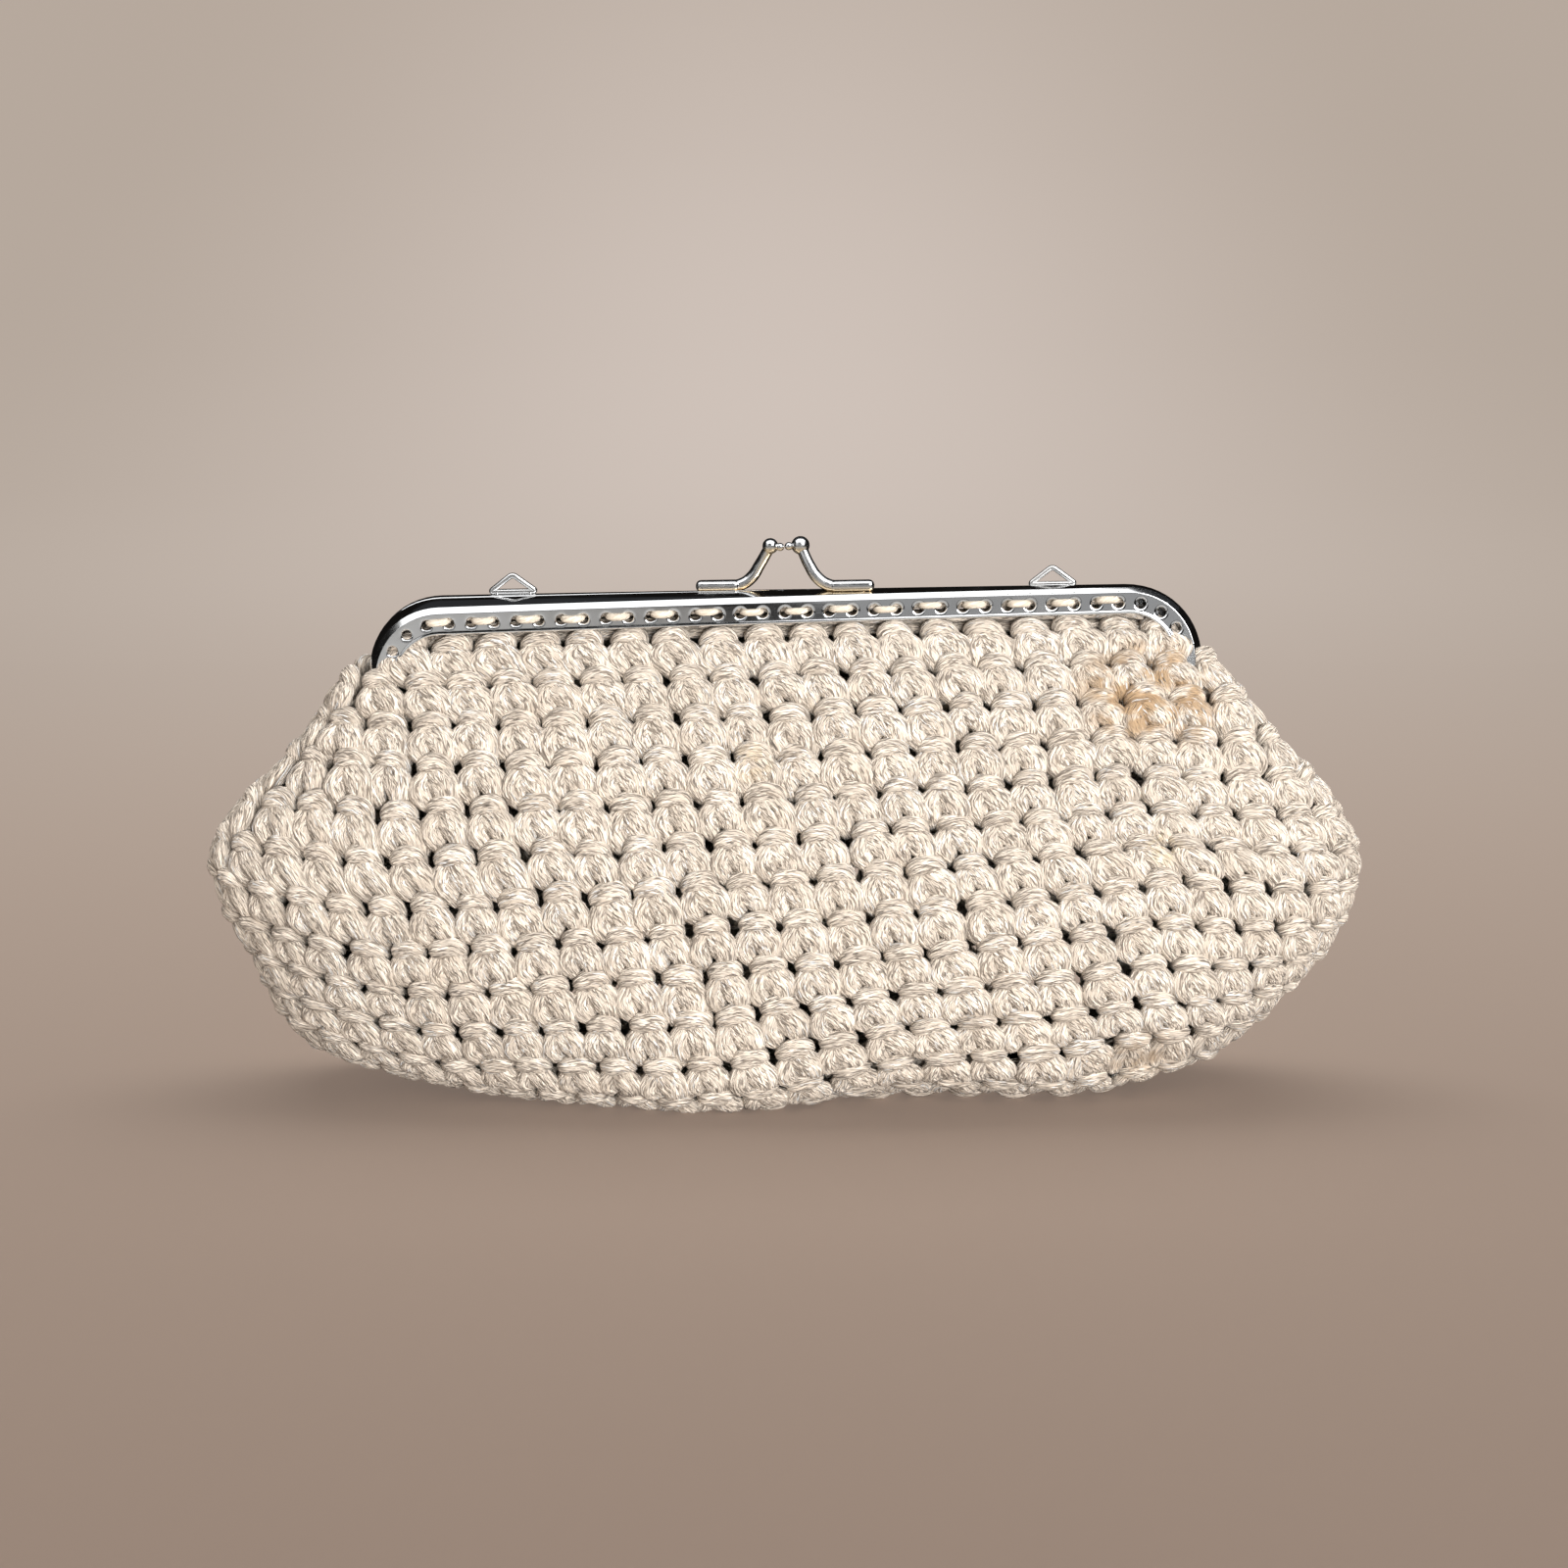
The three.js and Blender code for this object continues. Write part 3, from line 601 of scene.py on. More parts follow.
def unit(vectors):
    return vectors / (np.linalg.norm(vectors, axis=-1, keepdims=True) + TINY)


level_places, even_grid, round_lengths, level_climbs = even_rounds()
climbs = np.linspace(0, level_climbs[-1], CLIMB_SAMPLES)
rows_at = np.interp(climbs, level_climbs, np.arange(LEVEL_SAMPLES))
row_low = np.minimum(rows_at.astype(int), LEVEL_SAMPLES - 2)
row_mix = (rows_at - row_low)[:, None, None]
cloth_points = even_grid[row_low] * (1 - row_mix) + even_grid[row_low + 1] * row_mix
cloth_rounds = np.interp(climbs, level_climbs, round_lengths)
round_way = np.gradient(cloth_points, axis=1)
round_way[:, [0, -1]] = (cloth_points[:, [1]] - cloth_points[:, [-2]]) / 2
climb_way = np.gradient(cloth_points, axis=0)
cloth_normals = unit(np.cross(round_way, climb_way))
cloth_leans = (climb_way * unit(round_way)).sum(axis=2) / climbs[1]


def on_cloth(climb, share, out):
    row = np.clip(climb / climbs[1], 0, CLIMB_SAMPLES - 1.001)
    column = np.mod(share, 1) * (ROUND_SAMPLES - 1)
    r, c = row.astype(int), np.minimum(column.astype(int), ROUND_SAMPLES - 2)
    fr, fc = (row - r)[..., None], (column - c)[..., None]

    def blend(grid):
        low = grid[r, c] * (1 - fc) + grid[r, c + 1] * fc
        high = grid[r + 1, c] * (1 - fc) + grid[r + 1, c + 1] * fc
        return low * (1 - fr) + high * fr

    return blend(cloth_points) + unit(blend(cloth_normals)) * out[..., None]


print("from base to mouth", round(climbs[-1], 1), "mm")
print("widest round", round(cloth_rounds.max(), 1), "mm")

# %% [markdown]
# ## One stitch
# Seen from the right side, a single crochet stitch is a rounded cap that lies along the round, a
# short upright leg under its left half and a broad slanting leg under its right half. The legs run
# down to the caps of the round below, a low bar closes the back, and a small dark hole stays open
# at the cap's end. A stitch could be sculpted, but it is cord, so each strand is a short list of
# places that a round section is swept along. x and y are shares of a stitch's width and height from
# the middle of its cap, and out is the depth in millimetres from the face of the bag.

# %% Stitch strands
STITCH_WIDTH = 10.6
STITCH_HEIGHT = 10.0
STRAND_MAP_STEP = 50
# Each strand has its steps, its sides and rows of x, y, out, width and depth
STRANDS = {
    "cap": (16, 10, (
        (-0.18, -0.18, -6.0, 1.5, 1.5), (-0.23, -0.11, -3.9, 1.8, 1.7),
        (-0.21, -0.04, -2.4, 2.25, 2.0), (-0.09, 0.0, -1.7, 2.6, 2.2),
        (0.10, 0.03, -1.6, 2.65, 2.2), (0.25, -0.01, -2.1, 2.4, 2.1),
        (0.32, -0.12, -3.4, 1.9, 1.8), (0.30, -0.27, -5.9, 1.6, 1.5),
    )),
    "upright_leg": (9, 8, (
        (-0.11, -0.04, -3.6, 1.9, 1.6), (-0.15, -0.24, -2.5, 2.1, 1.8),
        (-0.23, -0.44, -1.9, 2.6, 1.8), (-0.23, -0.62, -1.8, 2.9, 1.8),
        (-0.12, -0.80, -2.2, 2.5, 1.7), (0.0, -0.98, -4.6, 1.8, 1.5),
    )),
    "slanting_leg": (11, 12, (
        (-0.10, -0.04, -3.6, 2.3, 1.6), (0.05, -0.22, -2.4, 3.0, 1.8),
        (0.22, -0.38, -1.8, 3.4, 1.9), (0.38, -0.56, -1.7, 3.5, 2.0),
        (0.45, -0.76, -2.2, 3.0, 1.9), (0.44, -0.94, -4.6, 2.3, 1.6),
    )),
    "back_bar": (6, 8, (
        (-0.52, -0.68, -5.4, 2.4, 1.2), (-0.2, -0.66, -5.8, 2.4, 1.2),
        (0.2, -0.66, -5.8, 2.4, 1.2), (0.52, -0.68, -5.4, 2.4, 1.2),
    )),
}


def swept_strand(path, width, depth, sides):
    ways = np.gradient(path, axis=0)
    ways /= np.linalg.norm(ways, axis=1, keepdims=True)
    count = len(path)
    outs = np.zeros_like(path)
    middle = count // 2
    outs[middle] = (0, 0, 1)
    for order in (range(middle, count), range(middle, -1, -1)):
        carried = outs[middle]
        for k in order:
            carried = carried - ways[k] * (carried @ ways[k])
            carried = carried / np.linalg.norm(carried)
            outs[k] = carried
    besides = np.cross(ways, outs)
    turns = 2 * math.pi * np.arange(sides) / sides
    ring_out = -depth[:, None, None] * np.cos(turns)[None, :, None]
    ring_side = width[:, None, None] * np.sin(turns)[None, :, None]
    points = path[:, None] + outs[:, None] * ring_out + besides[:, None] * ring_side
    walked = np.concatenate(((0,), np.cumsum(np.linalg.norm(np.diff(path, axis=0), axis=1))))
    girth = math.pi * (width.max() + depth.max())
    round_it = turns[None] / (2 * math.pi) * girth
    uvs = np.stack(np.broadcast_arrays(walked[:, None], round_it), axis=-1)
    ring = np.arange(sides)
    after = (ring + 1) % sides
    low = np.arange(count - 1)[:, None] * sides
    walls = np.stack((low + ring, low + after, low + sides + after, low + sides + ring), axis=-1)
    half = np.arange(sides // 2 - 1)
    cap = np.stack((half, half + 1, sides - 2 - half, sides - 1 - half), axis=-1)
    far_cap = cap[:, ::-1] + (count - 1) * sides
    quads = np.concatenate((walls.reshape(-1, 4)[:, ::-1], cap, far_cap))
    return points.reshape(-1, 3), quads, uvs.reshape(-1, 2)


def join_arrays(parts):
    starts = np.cumsum([0] + [len(points) for points, quads, uvs in parts])
    points = np.concatenate([part[0] for part in parts])
    quads = np.concatenate([part[1] + start for part, start in zip(parts, starts)])
    return points, quads, np.concatenate([part[2] for part in parts])


def one_stitch():
    parts = []
    for steps, sides, path in STRANDS.values():
        rows = np.array(path) * (STITCH_WIDTH, STITCH_HEIGHT, 1, 1, 1)
        smooth = spline_rows(rows, np.linspace(0, len(rows) - 1, steps + 1))
        points, quads, uvs = swept_strand(smooth[:, :3], smooth[:, 3], smooth[:, 4], sides)
        parts.append((points, quads, uvs + (STRAND_MAP_STEP * len(parts), 0)))
    return join_arrays(parts)


stitch_points, stitch_quads, stitch_uvs = one_stitch()
print("one stitch has", len(stitch_points), "points and", 2 * len(stitch_quads), "triangles")

# %% [markdown]
# ## The crocheted body
# One stitch is copied along every round and bent onto the surface, point by point, so neighbours
# stay in touch round the tips and over the folds. Each stitch stands upright to its round, and each
# lower round sits about a quarter of a stitch further right, as in the photograph. The soft bag
# sags, so in its lower part the rounds rise to the right. Hands never pull two stitches alike, so
# each one is turned, swollen and shifted a little. Points that would sink below the table are
# pressed flat on it. Where the frame's legs stand, no stitch is made. The body is cut into four
# bands of rounds, so that no mesh grows too heavy.

# %% Crocheted rounds
TOP_CAP_HEIGHT = 112.9
HEIGHT_SAMPLES = 600
ROUND_SHIFT = 0.27
TOP_PHASE = 0.45
FIRST_ROUND_SHARE = 0.45
FEWEST_STITCHES = 8
LEG_ZONE = {"inside": 91.5, "outside": 99.8, "half_depth": 6.8, "below": 22}
LEG_TEST_OUT = -2.0
UNEVEN = {"turn": math.radians(3.5), "swell": 0.045, "shift": 0.3, "out": 0.25}
MAP_SLIDE = 400
STEEPEST_LEAN = 1.2
SAG_SHARES = (-0.25, -0.16, 0.15, 0.25, 0.5)
SAG_RISES = (-4, -9, 9, 3, 0)
SAG_FULL = {"above_base": 35, "below_top": 65}
SAG_NONE_BELOW_TOP = 20
BANDS = 4

all_places = np.linspace(0, len(LEVELS) - 1, HEIGHT_SAMPLES)
top_place = np.interp(TOP_CAP_HEIGHT, spline_rows(LEVELS, all_places)[:, 0], all_places)
top_climb = np.interp(top_place, level_places, level_climbs)
round_count = round(top_climb / STITCH_HEIGHT + 1 - FIRST_ROUND_SHARE)
round_height = top_climb / (round_count - 1 + FIRST_ROUND_SHARE)


def sagged(climb, share):
    rise = np.interp(share, SAG_SHARES, SAG_RISES, period=1)
    full = (SAG_FULL["above_base"], top_climb - SAG_FULL["below_top"])
    stops = (0, *full, top_climb - SAG_NONE_BELOW_TOP)
    return climb + rise * np.interp(climb, stops, (0, 1, 1, 0))


def frame_local(points):
    x, y, z = np.moveaxis(points, -1, 0)
    x, z = rotated(x, z - FRAME_TOP, -FRAME_LEAN)
    y, z = rotated(y, z + HINGE_DROP, FRAME_TWIST * x / FRAME_HALF_WIDTH)
    return x, y, z - HINGE_DROP


def clear_of_legs(points):
    x, y, z = frame_local(points)
    beside = (np.abs(x) > LEG_ZONE["inside"]) & (np.abs(x) < LEG_ZONE["outside"])
    return ~(beside & (np.abs(y) < LEG_ZONE["half_depth"]) & (z > -LEG_ZONE["below"]))


def round_of_stitches(k):
    climb = top_climb - k * round_height
    length = np.interp(climb, climbs, cloth_rounds)
    count = max(int(round(length / STITCH_WIDTH)), FEWEST_STITCHES)
    shares = (np.arange(count) + TOP_PHASE + ROUND_SHIFT * k) / count
    row = int(np.clip((climb - round_height / 2) / climbs[1], 0, CLIMB_SAMPLES - 1))
    columns = (np.mod(shares, 1) * (ROUND_SAMPLES - 1)).astype(int)
    leans = np.clip(cloth_leans[row, columns], -STEEPEST_LEAN, STEEPEST_LEAN)
    turns = rng.normal(0, UNEVEN["turn"], count)
    swells = 1 + rng.normal(0, UNEVEN["swell"], count)
    shifts = rng.normal(0, UNEVEN["shift"], (count, 2))
    outs = rng.normal(0, UNEVEN["out"], count)
    slides = rng.uniform(0, MAP_SLIDE, (count, 2))
    parts = []
    middles = on_cloth(np.full(count, climb), shares, np.full(count, LEG_TEST_OUT))
    for i in np.flatnonzero(clear_of_legs(middles)):
        cos, sin = math.cos(turns[i]), math.sin(turns[i])
        x, y, out = stitch_points.T
        across = (x * cos - y * sin) * swells[i] + shifts[i, 0]
        up = ((x * sin + y * cos) * swells[i] + shifts[i, 1]) * round_height / STITCH_HEIGHT
        where = shares[i] + across / STITCH_WIDTH / count - leans[i] * up / length
        points = on_cloth(sagged(climb + up, where), where, out * swells[i] + outs[i])
        points[:, 2] = np.maximum(points[:, 2], 0)
        parts.append((points, stitch_quads, stitch_uvs + slides[i]))
    return parts


def mesh_from_arrays(name, parts, material, *nodes):
    points, quads, uvs = join_arrays(parts)
    mesh = bpy.data.meshes.new(name)
    mesh.from_pydata((points * MM).tolist(), [], quads.tolist())
    layer = mesh.uv_layers.new(name=STRAND_MAP)
    layer.data.foreach_set("uv", uvs[quads.ravel()].ravel())
    mesh.shade_smooth()
    piece = bpy.data.objects.new(name, mesh)
    bpy.context.scene.collection.objects.link(piece)
    finish_piece(piece, name, material, "crochet_cord", *nodes)


stitch_rounds = [round_of_stitches(k) for k in range(round_count)]
for band in range(BANDS):
    rounds = stitch_rounds[band * round_count // BANDS:(band + 1) * round_count // BANDS]
    parts = [part for each in rounds for part in each]
    mesh_from_arrays(f"crochet_band_{band + 1}", parts, cord_material, "crochet_body")
print(round_count, "rounds,", sum(len(each) for each in stitch_rounds), "stitches")

# %% [markdown]
# ## The frame
# Each half of the real frame is one strip of sheet metal, rolled to a channel with a bevelled
# shoulder and a hemmed flange, and bent to a U. Here a circle's points are moved to the section's
# corners. It is extruded up the left leg, spun round the corner, extruded along the top, spun and
# extruded down again, as the strip runs. It is built flat, with its hinges at height zero, so that
# the twist deformer turns it about them.

# %% Frame section and placing
FRAME_CORNER = 18
FRAME_LEG = 20.5
SHEET = 0.8
FLANGE_FACE = 7
# Each corner of the section has its depth and its distance in from the U's outside
SECTION = (
    (6.2, 7.4), (7.1, 7.4), (7.35, 7.0), (7.1, 6.5), (7.0, 2.3), (5.8, 0.95), (3.2, 0.2),
    (0.5, 0), (0.2, 0.3), (0.2, 5.0), (1.0, 5.0), (1.0, 0.9), (5.3, 1.7), (6.2, 2.6),
)
CORNER_X = FRAME_HALF_WIDTH - FRAME_CORNER
CORNER_Z = HINGE_DROP - FRAME_CORNER
LEG_END_Z = HINGE_DROP - FRAME_LEG
CORNER_STEPS = 14
STRAIGHT_STEPS = 30
EDGE_ROUND = 0.12
SECTION_ROUND_FROM = math.radians(22)
WELD = 1e-6
FRAME_PLACE = Matrix.Translation((0, 0, FRAME_TOP * MM)) @ Matrix.Rotation(-FRAME_LEAN, 4, "Y") \
    @ Matrix.Translation((0, 0, -HINGE_DROP * MM))


def apply_modifier(piece, kind, **settings):
    select_only(piece)
    made = piece.modifiers.new(kind.lower(), kind)
    for name, value in settings.items():
        setattr(made, name, value)
    bpy.ops.object.modifier_apply(modifier=made.name)


def round_edges(piece, width, segments, **settings):
    apply_modifier(piece, "BEVEL", width=width * MM, segments=segments, **settings)


def join_pieces(pieces):
    select_only(*pieces)
    if len(pieces) > 1:
        bpy.ops.object.join()
    return pieces[0]


def finish_metal(piece, node, material):
    finish_piece(piece, node + "_chrome", material, "chrome_steel", node)


def apply_transform():
    bpy.ops.object.transform_apply(location=True, rotation=True, scale=True)


def bake_place(piece, matrix):
    piece.matrix_world = matrix @ piece.matrix_world
    select_only(piece)
    apply_transform()


def twist_matrix(x):
    return FRAME_PLACE @ Matrix.Rotation(-FRAME_TWIST * x / FRAME_HALF_WIDTH, 4, "X")


def shade_by_angle(piece, degrees):
    select_only(piece)
    bpy.ops.object.shade_smooth_by_angle(angle=math.radians(degrees))


def edit_all():
    bpy.ops.object.mode_set(mode="EDIT")
    bpy.ops.mesh.select_all(action="SELECT")


def leave_edit():
    bpy.ops.object.mode_set(mode="OBJECT")


def extrude_edges(x, z):
    bpy.ops.mesh.extrude_edges_move(TRANSFORM_OT_translate={"value": (x * MM, 0, z * MM)})


def spin_corner(x):
    centre = (x * MM, 0, CORNER_Z * MM)
    bpy.ops.mesh.spin(steps=CORNER_STEPS, angle=-math.pi / 2, center=centre, axis=(0, 1, 0))


def channel(side):
    deselect_all()
    bpy.ops.mesh.primitive_circle_add(vertices=len(SECTION), fill_type="NOTHING")
    half = bpy.context.object
    for point, (d, n) in zip(half.data.vertices, SECTION):
        point.co = Vector((n - FRAME_HALF_WIDTH, side * d, LEG_END_Z)) * MM
    edit_all()
    extrude_edges(0, CORNER_Z - LEG_END_Z)
    spin_corner(-CORNER_X)
    for _ in range(STRAIGHT_STEPS):
        extrude_edges(2 * CORNER_X / STRAIGHT_STEPS, 0)
    spin_corner(CORNER_X)
    extrude_edges(0, LEG_END_Z - CORNER_Z)
    bpy.ops.mesh.select_all(action="SELECT")
    bpy.ops.mesh.remove_doubles(threshold=WELD)
    bpy.ops.mesh.fill_holes(sides=0)
    bpy.ops.mesh.normals_make_consistent(inside=False)
    leave_edit()
    round_edges(half, EDGE_ROUND, 2, limit_method="ANGLE", angle_limit=SECTION_ROUND_FROM)
    return half


channels = {-1: channel(-1), 1: channel(1)}
print("front channel, mm:", [round(v, 2) for v in channels[-1].dimensions / MM])

# %% [markdown]
# The flange is punched with a row of holes for sewing, and the punch left a dished rim round each.
# The holes follow the same U, a little in from the hem. One cylinder for each hole is joined into
# one cutter for the Boolean modifier, and a flattened torus, sunk in the sheet, makes each rim.

# %% Sewing holes
HOLES_EACH_WAY = 19
HOLE_PITCH = 5.31
HOLE_RADIUS = 1.95
HOLE_INSET = 4.7
HOLE_RIM = {"radius": 2.0, "wire": 0.85, "flat": 0.6, "turns": 24, "sides": 14}
ALONG_X = (0, math.pi / 2, 0)
ALONG_Y = (math.pi / 2, 0, 0)


def along_frame(walk, inset):
    corner = FRAME_CORNER - inset
    bend = np.clip((np.abs(walk) - CORNER_X) / (FRAME_CORNER - HOLE_INSET), 0, math.pi / 2)
    down = np.maximum(np.abs(walk) - CORNER_X - (FRAME_CORNER - HOLE_INSET) * math.pi / 2, 0)
    x = np.minimum(np.abs(walk), CORNER_X) + corner * np.sin(bend)
    return np.sign(walk) * x, CORNER_Z + corner * np.cos(bend) - down


def cylinder(vertices, radius, length, place, turn=(0, 0, 0)):
    bpy.ops.mesh.primitive_cylinder_add(
        vertices=vertices, radius=radius * MM, depth=length * MM,
        location=Vector(place) * MM, rotation=turn,
    )
    return bpy.context.object


hole_walks = np.arange(-HOLES_EACH_WAY, HOLES_EACH_WAY + 1) * HOLE_PITCH
hole_x, hole_z = along_frame(hole_walks, HOLE_INSET)


def punch(half, side):
    cutters, rims = [], []
    sink = HOLE_RIM["flat"] * HOLE_RIM["wire"]
    for x, z in zip(hole_x, hole_z):
        middle = (x, side * (FLANGE_FACE - SHEET / 2), z)
        cutters.append(cylinder(20, HOLE_RADIUS, 3 * SHEET, middle, ALONG_Y))
        bpy.ops.mesh.primitive_torus_add(
            major_radius=HOLE_RIM["radius"] * MM, minor_radius=HOLE_RIM["wire"] * MM,
            major_segments=HOLE_RIM["turns"], minor_segments=HOLE_RIM["sides"], rotation=ALONG_Y,
            location=Vector((x, side * (FLANGE_FACE - sink), z)) * MM,
        )
        bpy.context.object.scale.z = HOLE_RIM["flat"]
        rims.append(bpy.context.object)
    cutter = join_pieces(cutters)
    apply_modifier(half, "BOOLEAN", object=cutter, operation="DIFFERENCE", solver="EXACT")
    bpy.data.objects.remove(cutter)
    shade_by_angle(half, 30)
    joined = join_pieces(rims)
    bpy.ops.object.shade_smooth()
    return joined


hole_rims = {side: punch(half, side) for side, half in channels.items()}
print(len(hole_x), "holes in each flange, the last at", round(hole_x[-1], 1), "mm")

# %% [markdown]
# At the foot of each leg a tongue, a disc with a bar above it, reaches down to the hinge. Those of
# the back half lie inside those of the front half, and one rivet joins each pair. The parts of each
# half are joined, twisted about the hinge line and set on the bag.

# %% Hinge tongues and finished halves
TONGUE_RADIUS = 3
TONGUE_BAR = {"near": 0.3, "far": 5.0, "top": 5.0}
CLEARANCE = 0.3
TONGUE_INSETS = {-1: 0.0, 1: SHEET + CLEARANCE}


def box(size, place):
    bpy.ops.mesh.primitive_cube_add(size=MM, location=Vector(place) * MM, scale=size)
    return bpy.context.object


def tongue(side, end):
    x = end * (FRAME_HALF_WIDTH - TONGUE_INSETS[side] - SHEET / 2)
    disc = cylinder(40, TONGUE_RADIUS, SHEET, (x, 0, 0), ALONG_X)
    near, far, top = TONGUE_BAR.values()
    bar = box((SHEET, far - near, top), (x, side * (near + far) / 2, top / 2))
    made = join_pieces([disc, bar])
    apply_transform()
    round_edges(made, EDGE_ROUND, 2, limit_method="ANGLE")
    shade_by_angle(made, 35)
    return made


for side, name in ((-1, "frame_front"), (1, "frame_back")):
    half = join_pieces([channels[side], hole_rims[side], tongue(side, -1), tongue(side, 1)])
    apply_modifier(
        half, "SIMPLE_DEFORM", deform_method="TWIST", deform_axis="X", angle=-2 * FRAME_TWIST
    )
    bake_place(half, FRAME_PLACE)
    apply_modifier(half, "WEIGHTED_NORMAL", keep_sharp=True)
    finish_metal(half, name, chrome_material)

# %% [markdown]
# A hinge rivet is a short pin with a flat round head on each side, three cylinders with softened
# edges.

# %% Hinge rivets
RIVET_PIN = {"radius": 1.0, "from": -2.2, "to": 0.3}
RIVET_HEAD = {"radius": 1.9, "height": 0.7}
HEAD_ROUND = 0.35


def rod_along_x(radius, low, high):
    return cylinder(32, radius, high - low, ((low + high) / 2, 0, 0), ALONG_X)


for end, name in ((-1, "hinge_rivet_left"), (1, "hinge_rivet_right")):
    low, high = RIVET_PIN["from"], RIVET_PIN["to"]
    pin = rod_along_x(RIVET_PIN["radius"], low, high)
    outer = rod_along_x(RIVET_HEAD["radius"], high, high + RIVET_HEAD["height"])
    inner = rod_along_x(RIVET_HEAD["radius"], low - RIVET_HEAD["height"], low)
    for head in (outer, inner):
        round_edges(head, HEAD_ROUND, 4, limit_method="ANGLE")
    rivet = join_pieces([pin, outer, inner])
    shade_by_angle(rivet, 35)
    turn = Matrix.Rotation(math.pi, 4, "Z") if end < 0 else Matrix.Identity(4)
    place = Matrix.Translation((end * FRAME_HALF_WIDTH * MM, 0, 0))
    bake_place(rivet, twist_matrix(end * FRAME_HALF_WIDTH) @ place @ turn)
    finish_metal(rivet, name, chrome_material)

# %% [markdown]
# ## The kiss lock
# Two bent arms with knobs snap past each other. Each is cast in one piece: a flat foot, a neck that
# rises to a knob, and a small bead that meets the other arm. The neck is a Bezier curve whose
# points carry their own radius. The parts are remeshed into one skin and smoothed where they meet.

# %% Clasp arms
ARM_FOOT = {"near": 10.8, "far": 21.4, "width": 3.6, "thick": 2.8, "round": 1.25, "rise": 2.3}
ARM_SEAT = 3.1
ARM_PEG = {"radius": 1.0, "inset": 3.0, "depth": 0.7, "above": 1}
# Each row has the way back from the foot's end, the share of the seat, the rise and the radius
ARM_NECK = ((-2.2, 1, 0, 1.3), (0.4, 1, 0.3, 1.5), (2.9, 0.96, 2.0, 1.5), (4.8, 0.8, 4.9, 1.4))
KNOB_NECK = 1.35
KNOBS = {
    "left": {"end": -1, "side": 1, "x": 3.3, "y": 1.2, "z": 10.5, "radius": 1.9, "tip": 0.95},
    "right": {"end": 1, "side": -1, "x": 3.9, "y": -1.0, "z": 10.6, "radius": 2.2, "tip": 1.1},
}
BEAD = {"radius": 0.98, "waist": 0.75, "drop": 0.2, "nearer": 1.6, "aside": 0.8}
ARM_VOXEL = 0.14


def thick_curve(rows):
    deselect_all()
    bpy.ops.curve.primitive_bezier_curve_add()
    made = bpy.context.object
    bpy.ops.object.mode_set(mode="EDIT")
    bpy.ops.curve.subdivide(number_cuts=len(rows) - 2)
    leave_edit()
    made.data.dimensions = "3D"
    for point, (x, y, z, radius) in zip(made.data.splines[0].bezier_points, rows):
        point.co = Vector((x, y, z)) * MM
        point.radius = radius
        point.handle_left_type = point.handle_right_type = "AUTO"
    made.data.bevel_depth = MM
    made.data.bevel_resolution = 6
    made.data.use_fill_caps = True
    bpy.ops.object.convert(target="MESH")
    return bpy.context.object


def ball(x, y, z, radius):
    bpy.ops.mesh.primitive_uv_sphere_add(
        segments=32, ring_count=20, radius=radius * MM, location=Vector((x, y, z)) * MM
    )
    return bpy.context.object


def clasp_arm(row):
    end, seat = row["end"], row["side"] * ARM_SEAT
    middle = HINGE_DROP + ARM_FOOT["rise"] - ARM_FOOT["thick"] / 2
    long = ARM_FOOT["far"] - ARM_FOOT["near"]
    foot = box(
        (long, ARM_FOOT["width"], ARM_FOOT["thick"]),
        (end * (ARM_FOOT["near"] + long / 2), seat, middle),
    )
    apply_transform()
    round_edges(foot, ARM_FOOT["round"], 4)
    knob = (end * row["x"], row["y"], HINGE_DROP + row["z"])
    rise = [
        (end * (ARM_FOOT["near"] - back), lean * seat, middle + up, radius)
        for back, lean, up, radius in ARM_NECK
    ]
    neck = thick_curve(rise + [(*knob, KNOB_NECK)])
    bead_z = knob[2] - BEAD["drop"]
    tip = (end * row["tip"], row["y"] / 2, bead_z)
    between = (end * row["x"] / BEAD["nearer"], row["y"] * BEAD["aside"], bead_z)
    waist = thick_curve([(*place, BEAD["waist"]) for place in (knob, between, tip)])
    above, depth = ARM_PEG["above"], ARM_PEG["depth"]
    peg_place = (
        end * (ARM_FOOT["far"] - ARM_PEG["inset"]), seat, HINGE_DROP + (above - depth) / 2
    )
    peg = cylinder(24, ARM_PEG["radius"], depth + above, peg_place)
    balls = [ball(*knob, row["radius"]), ball(*tip, BEAD["radius"])]
    arm = join_pieces([foot, neck, waist, peg, *balls])
    apply_transform()
    arm.data.remesh_voxel_size = ARM_VOXEL * MM
    bpy.ops.object.voxel_remesh()
    apply_modifier(arm, "SMOOTH", factor=0.5, iterations=4)
    bpy.ops.object.shade_smooth()
    return arm


for side, row in KNOBS.items():
    name = "clasp_arm_" + side
    arm = clasp_arm(row)
    bake_place(arm, twist_matrix(row["end"] * (ARM_FOOT["near"] + ARM_FOOT["far"]) / 2))
    mark_underside(arm)
    finish_metal(arm, name, clasp_material)

# %% [markdown]
# ## The chain loops
# Each loop is a flat triangle of wire with its ends staked into the frame. A three-sided circle
# gives the triangle, its corners are bevelled, and as a curve it gets the thickness of the wire.

# %% Chain loops
LOOP_PLACES = {"left": -65.2, "right": 64.8}
LOOP_HALF_WIDTH = 5.6
LOOP_HEIGHT = 4.2
LOOP_SINK = 0.35
LOOP_BEND = 0.9
WIRE_RADIUS = 0.68
LOOP_SEAT = 3.4
LOOP_PEG_SPREAD = 4
PEG_DEPTH = 0.7


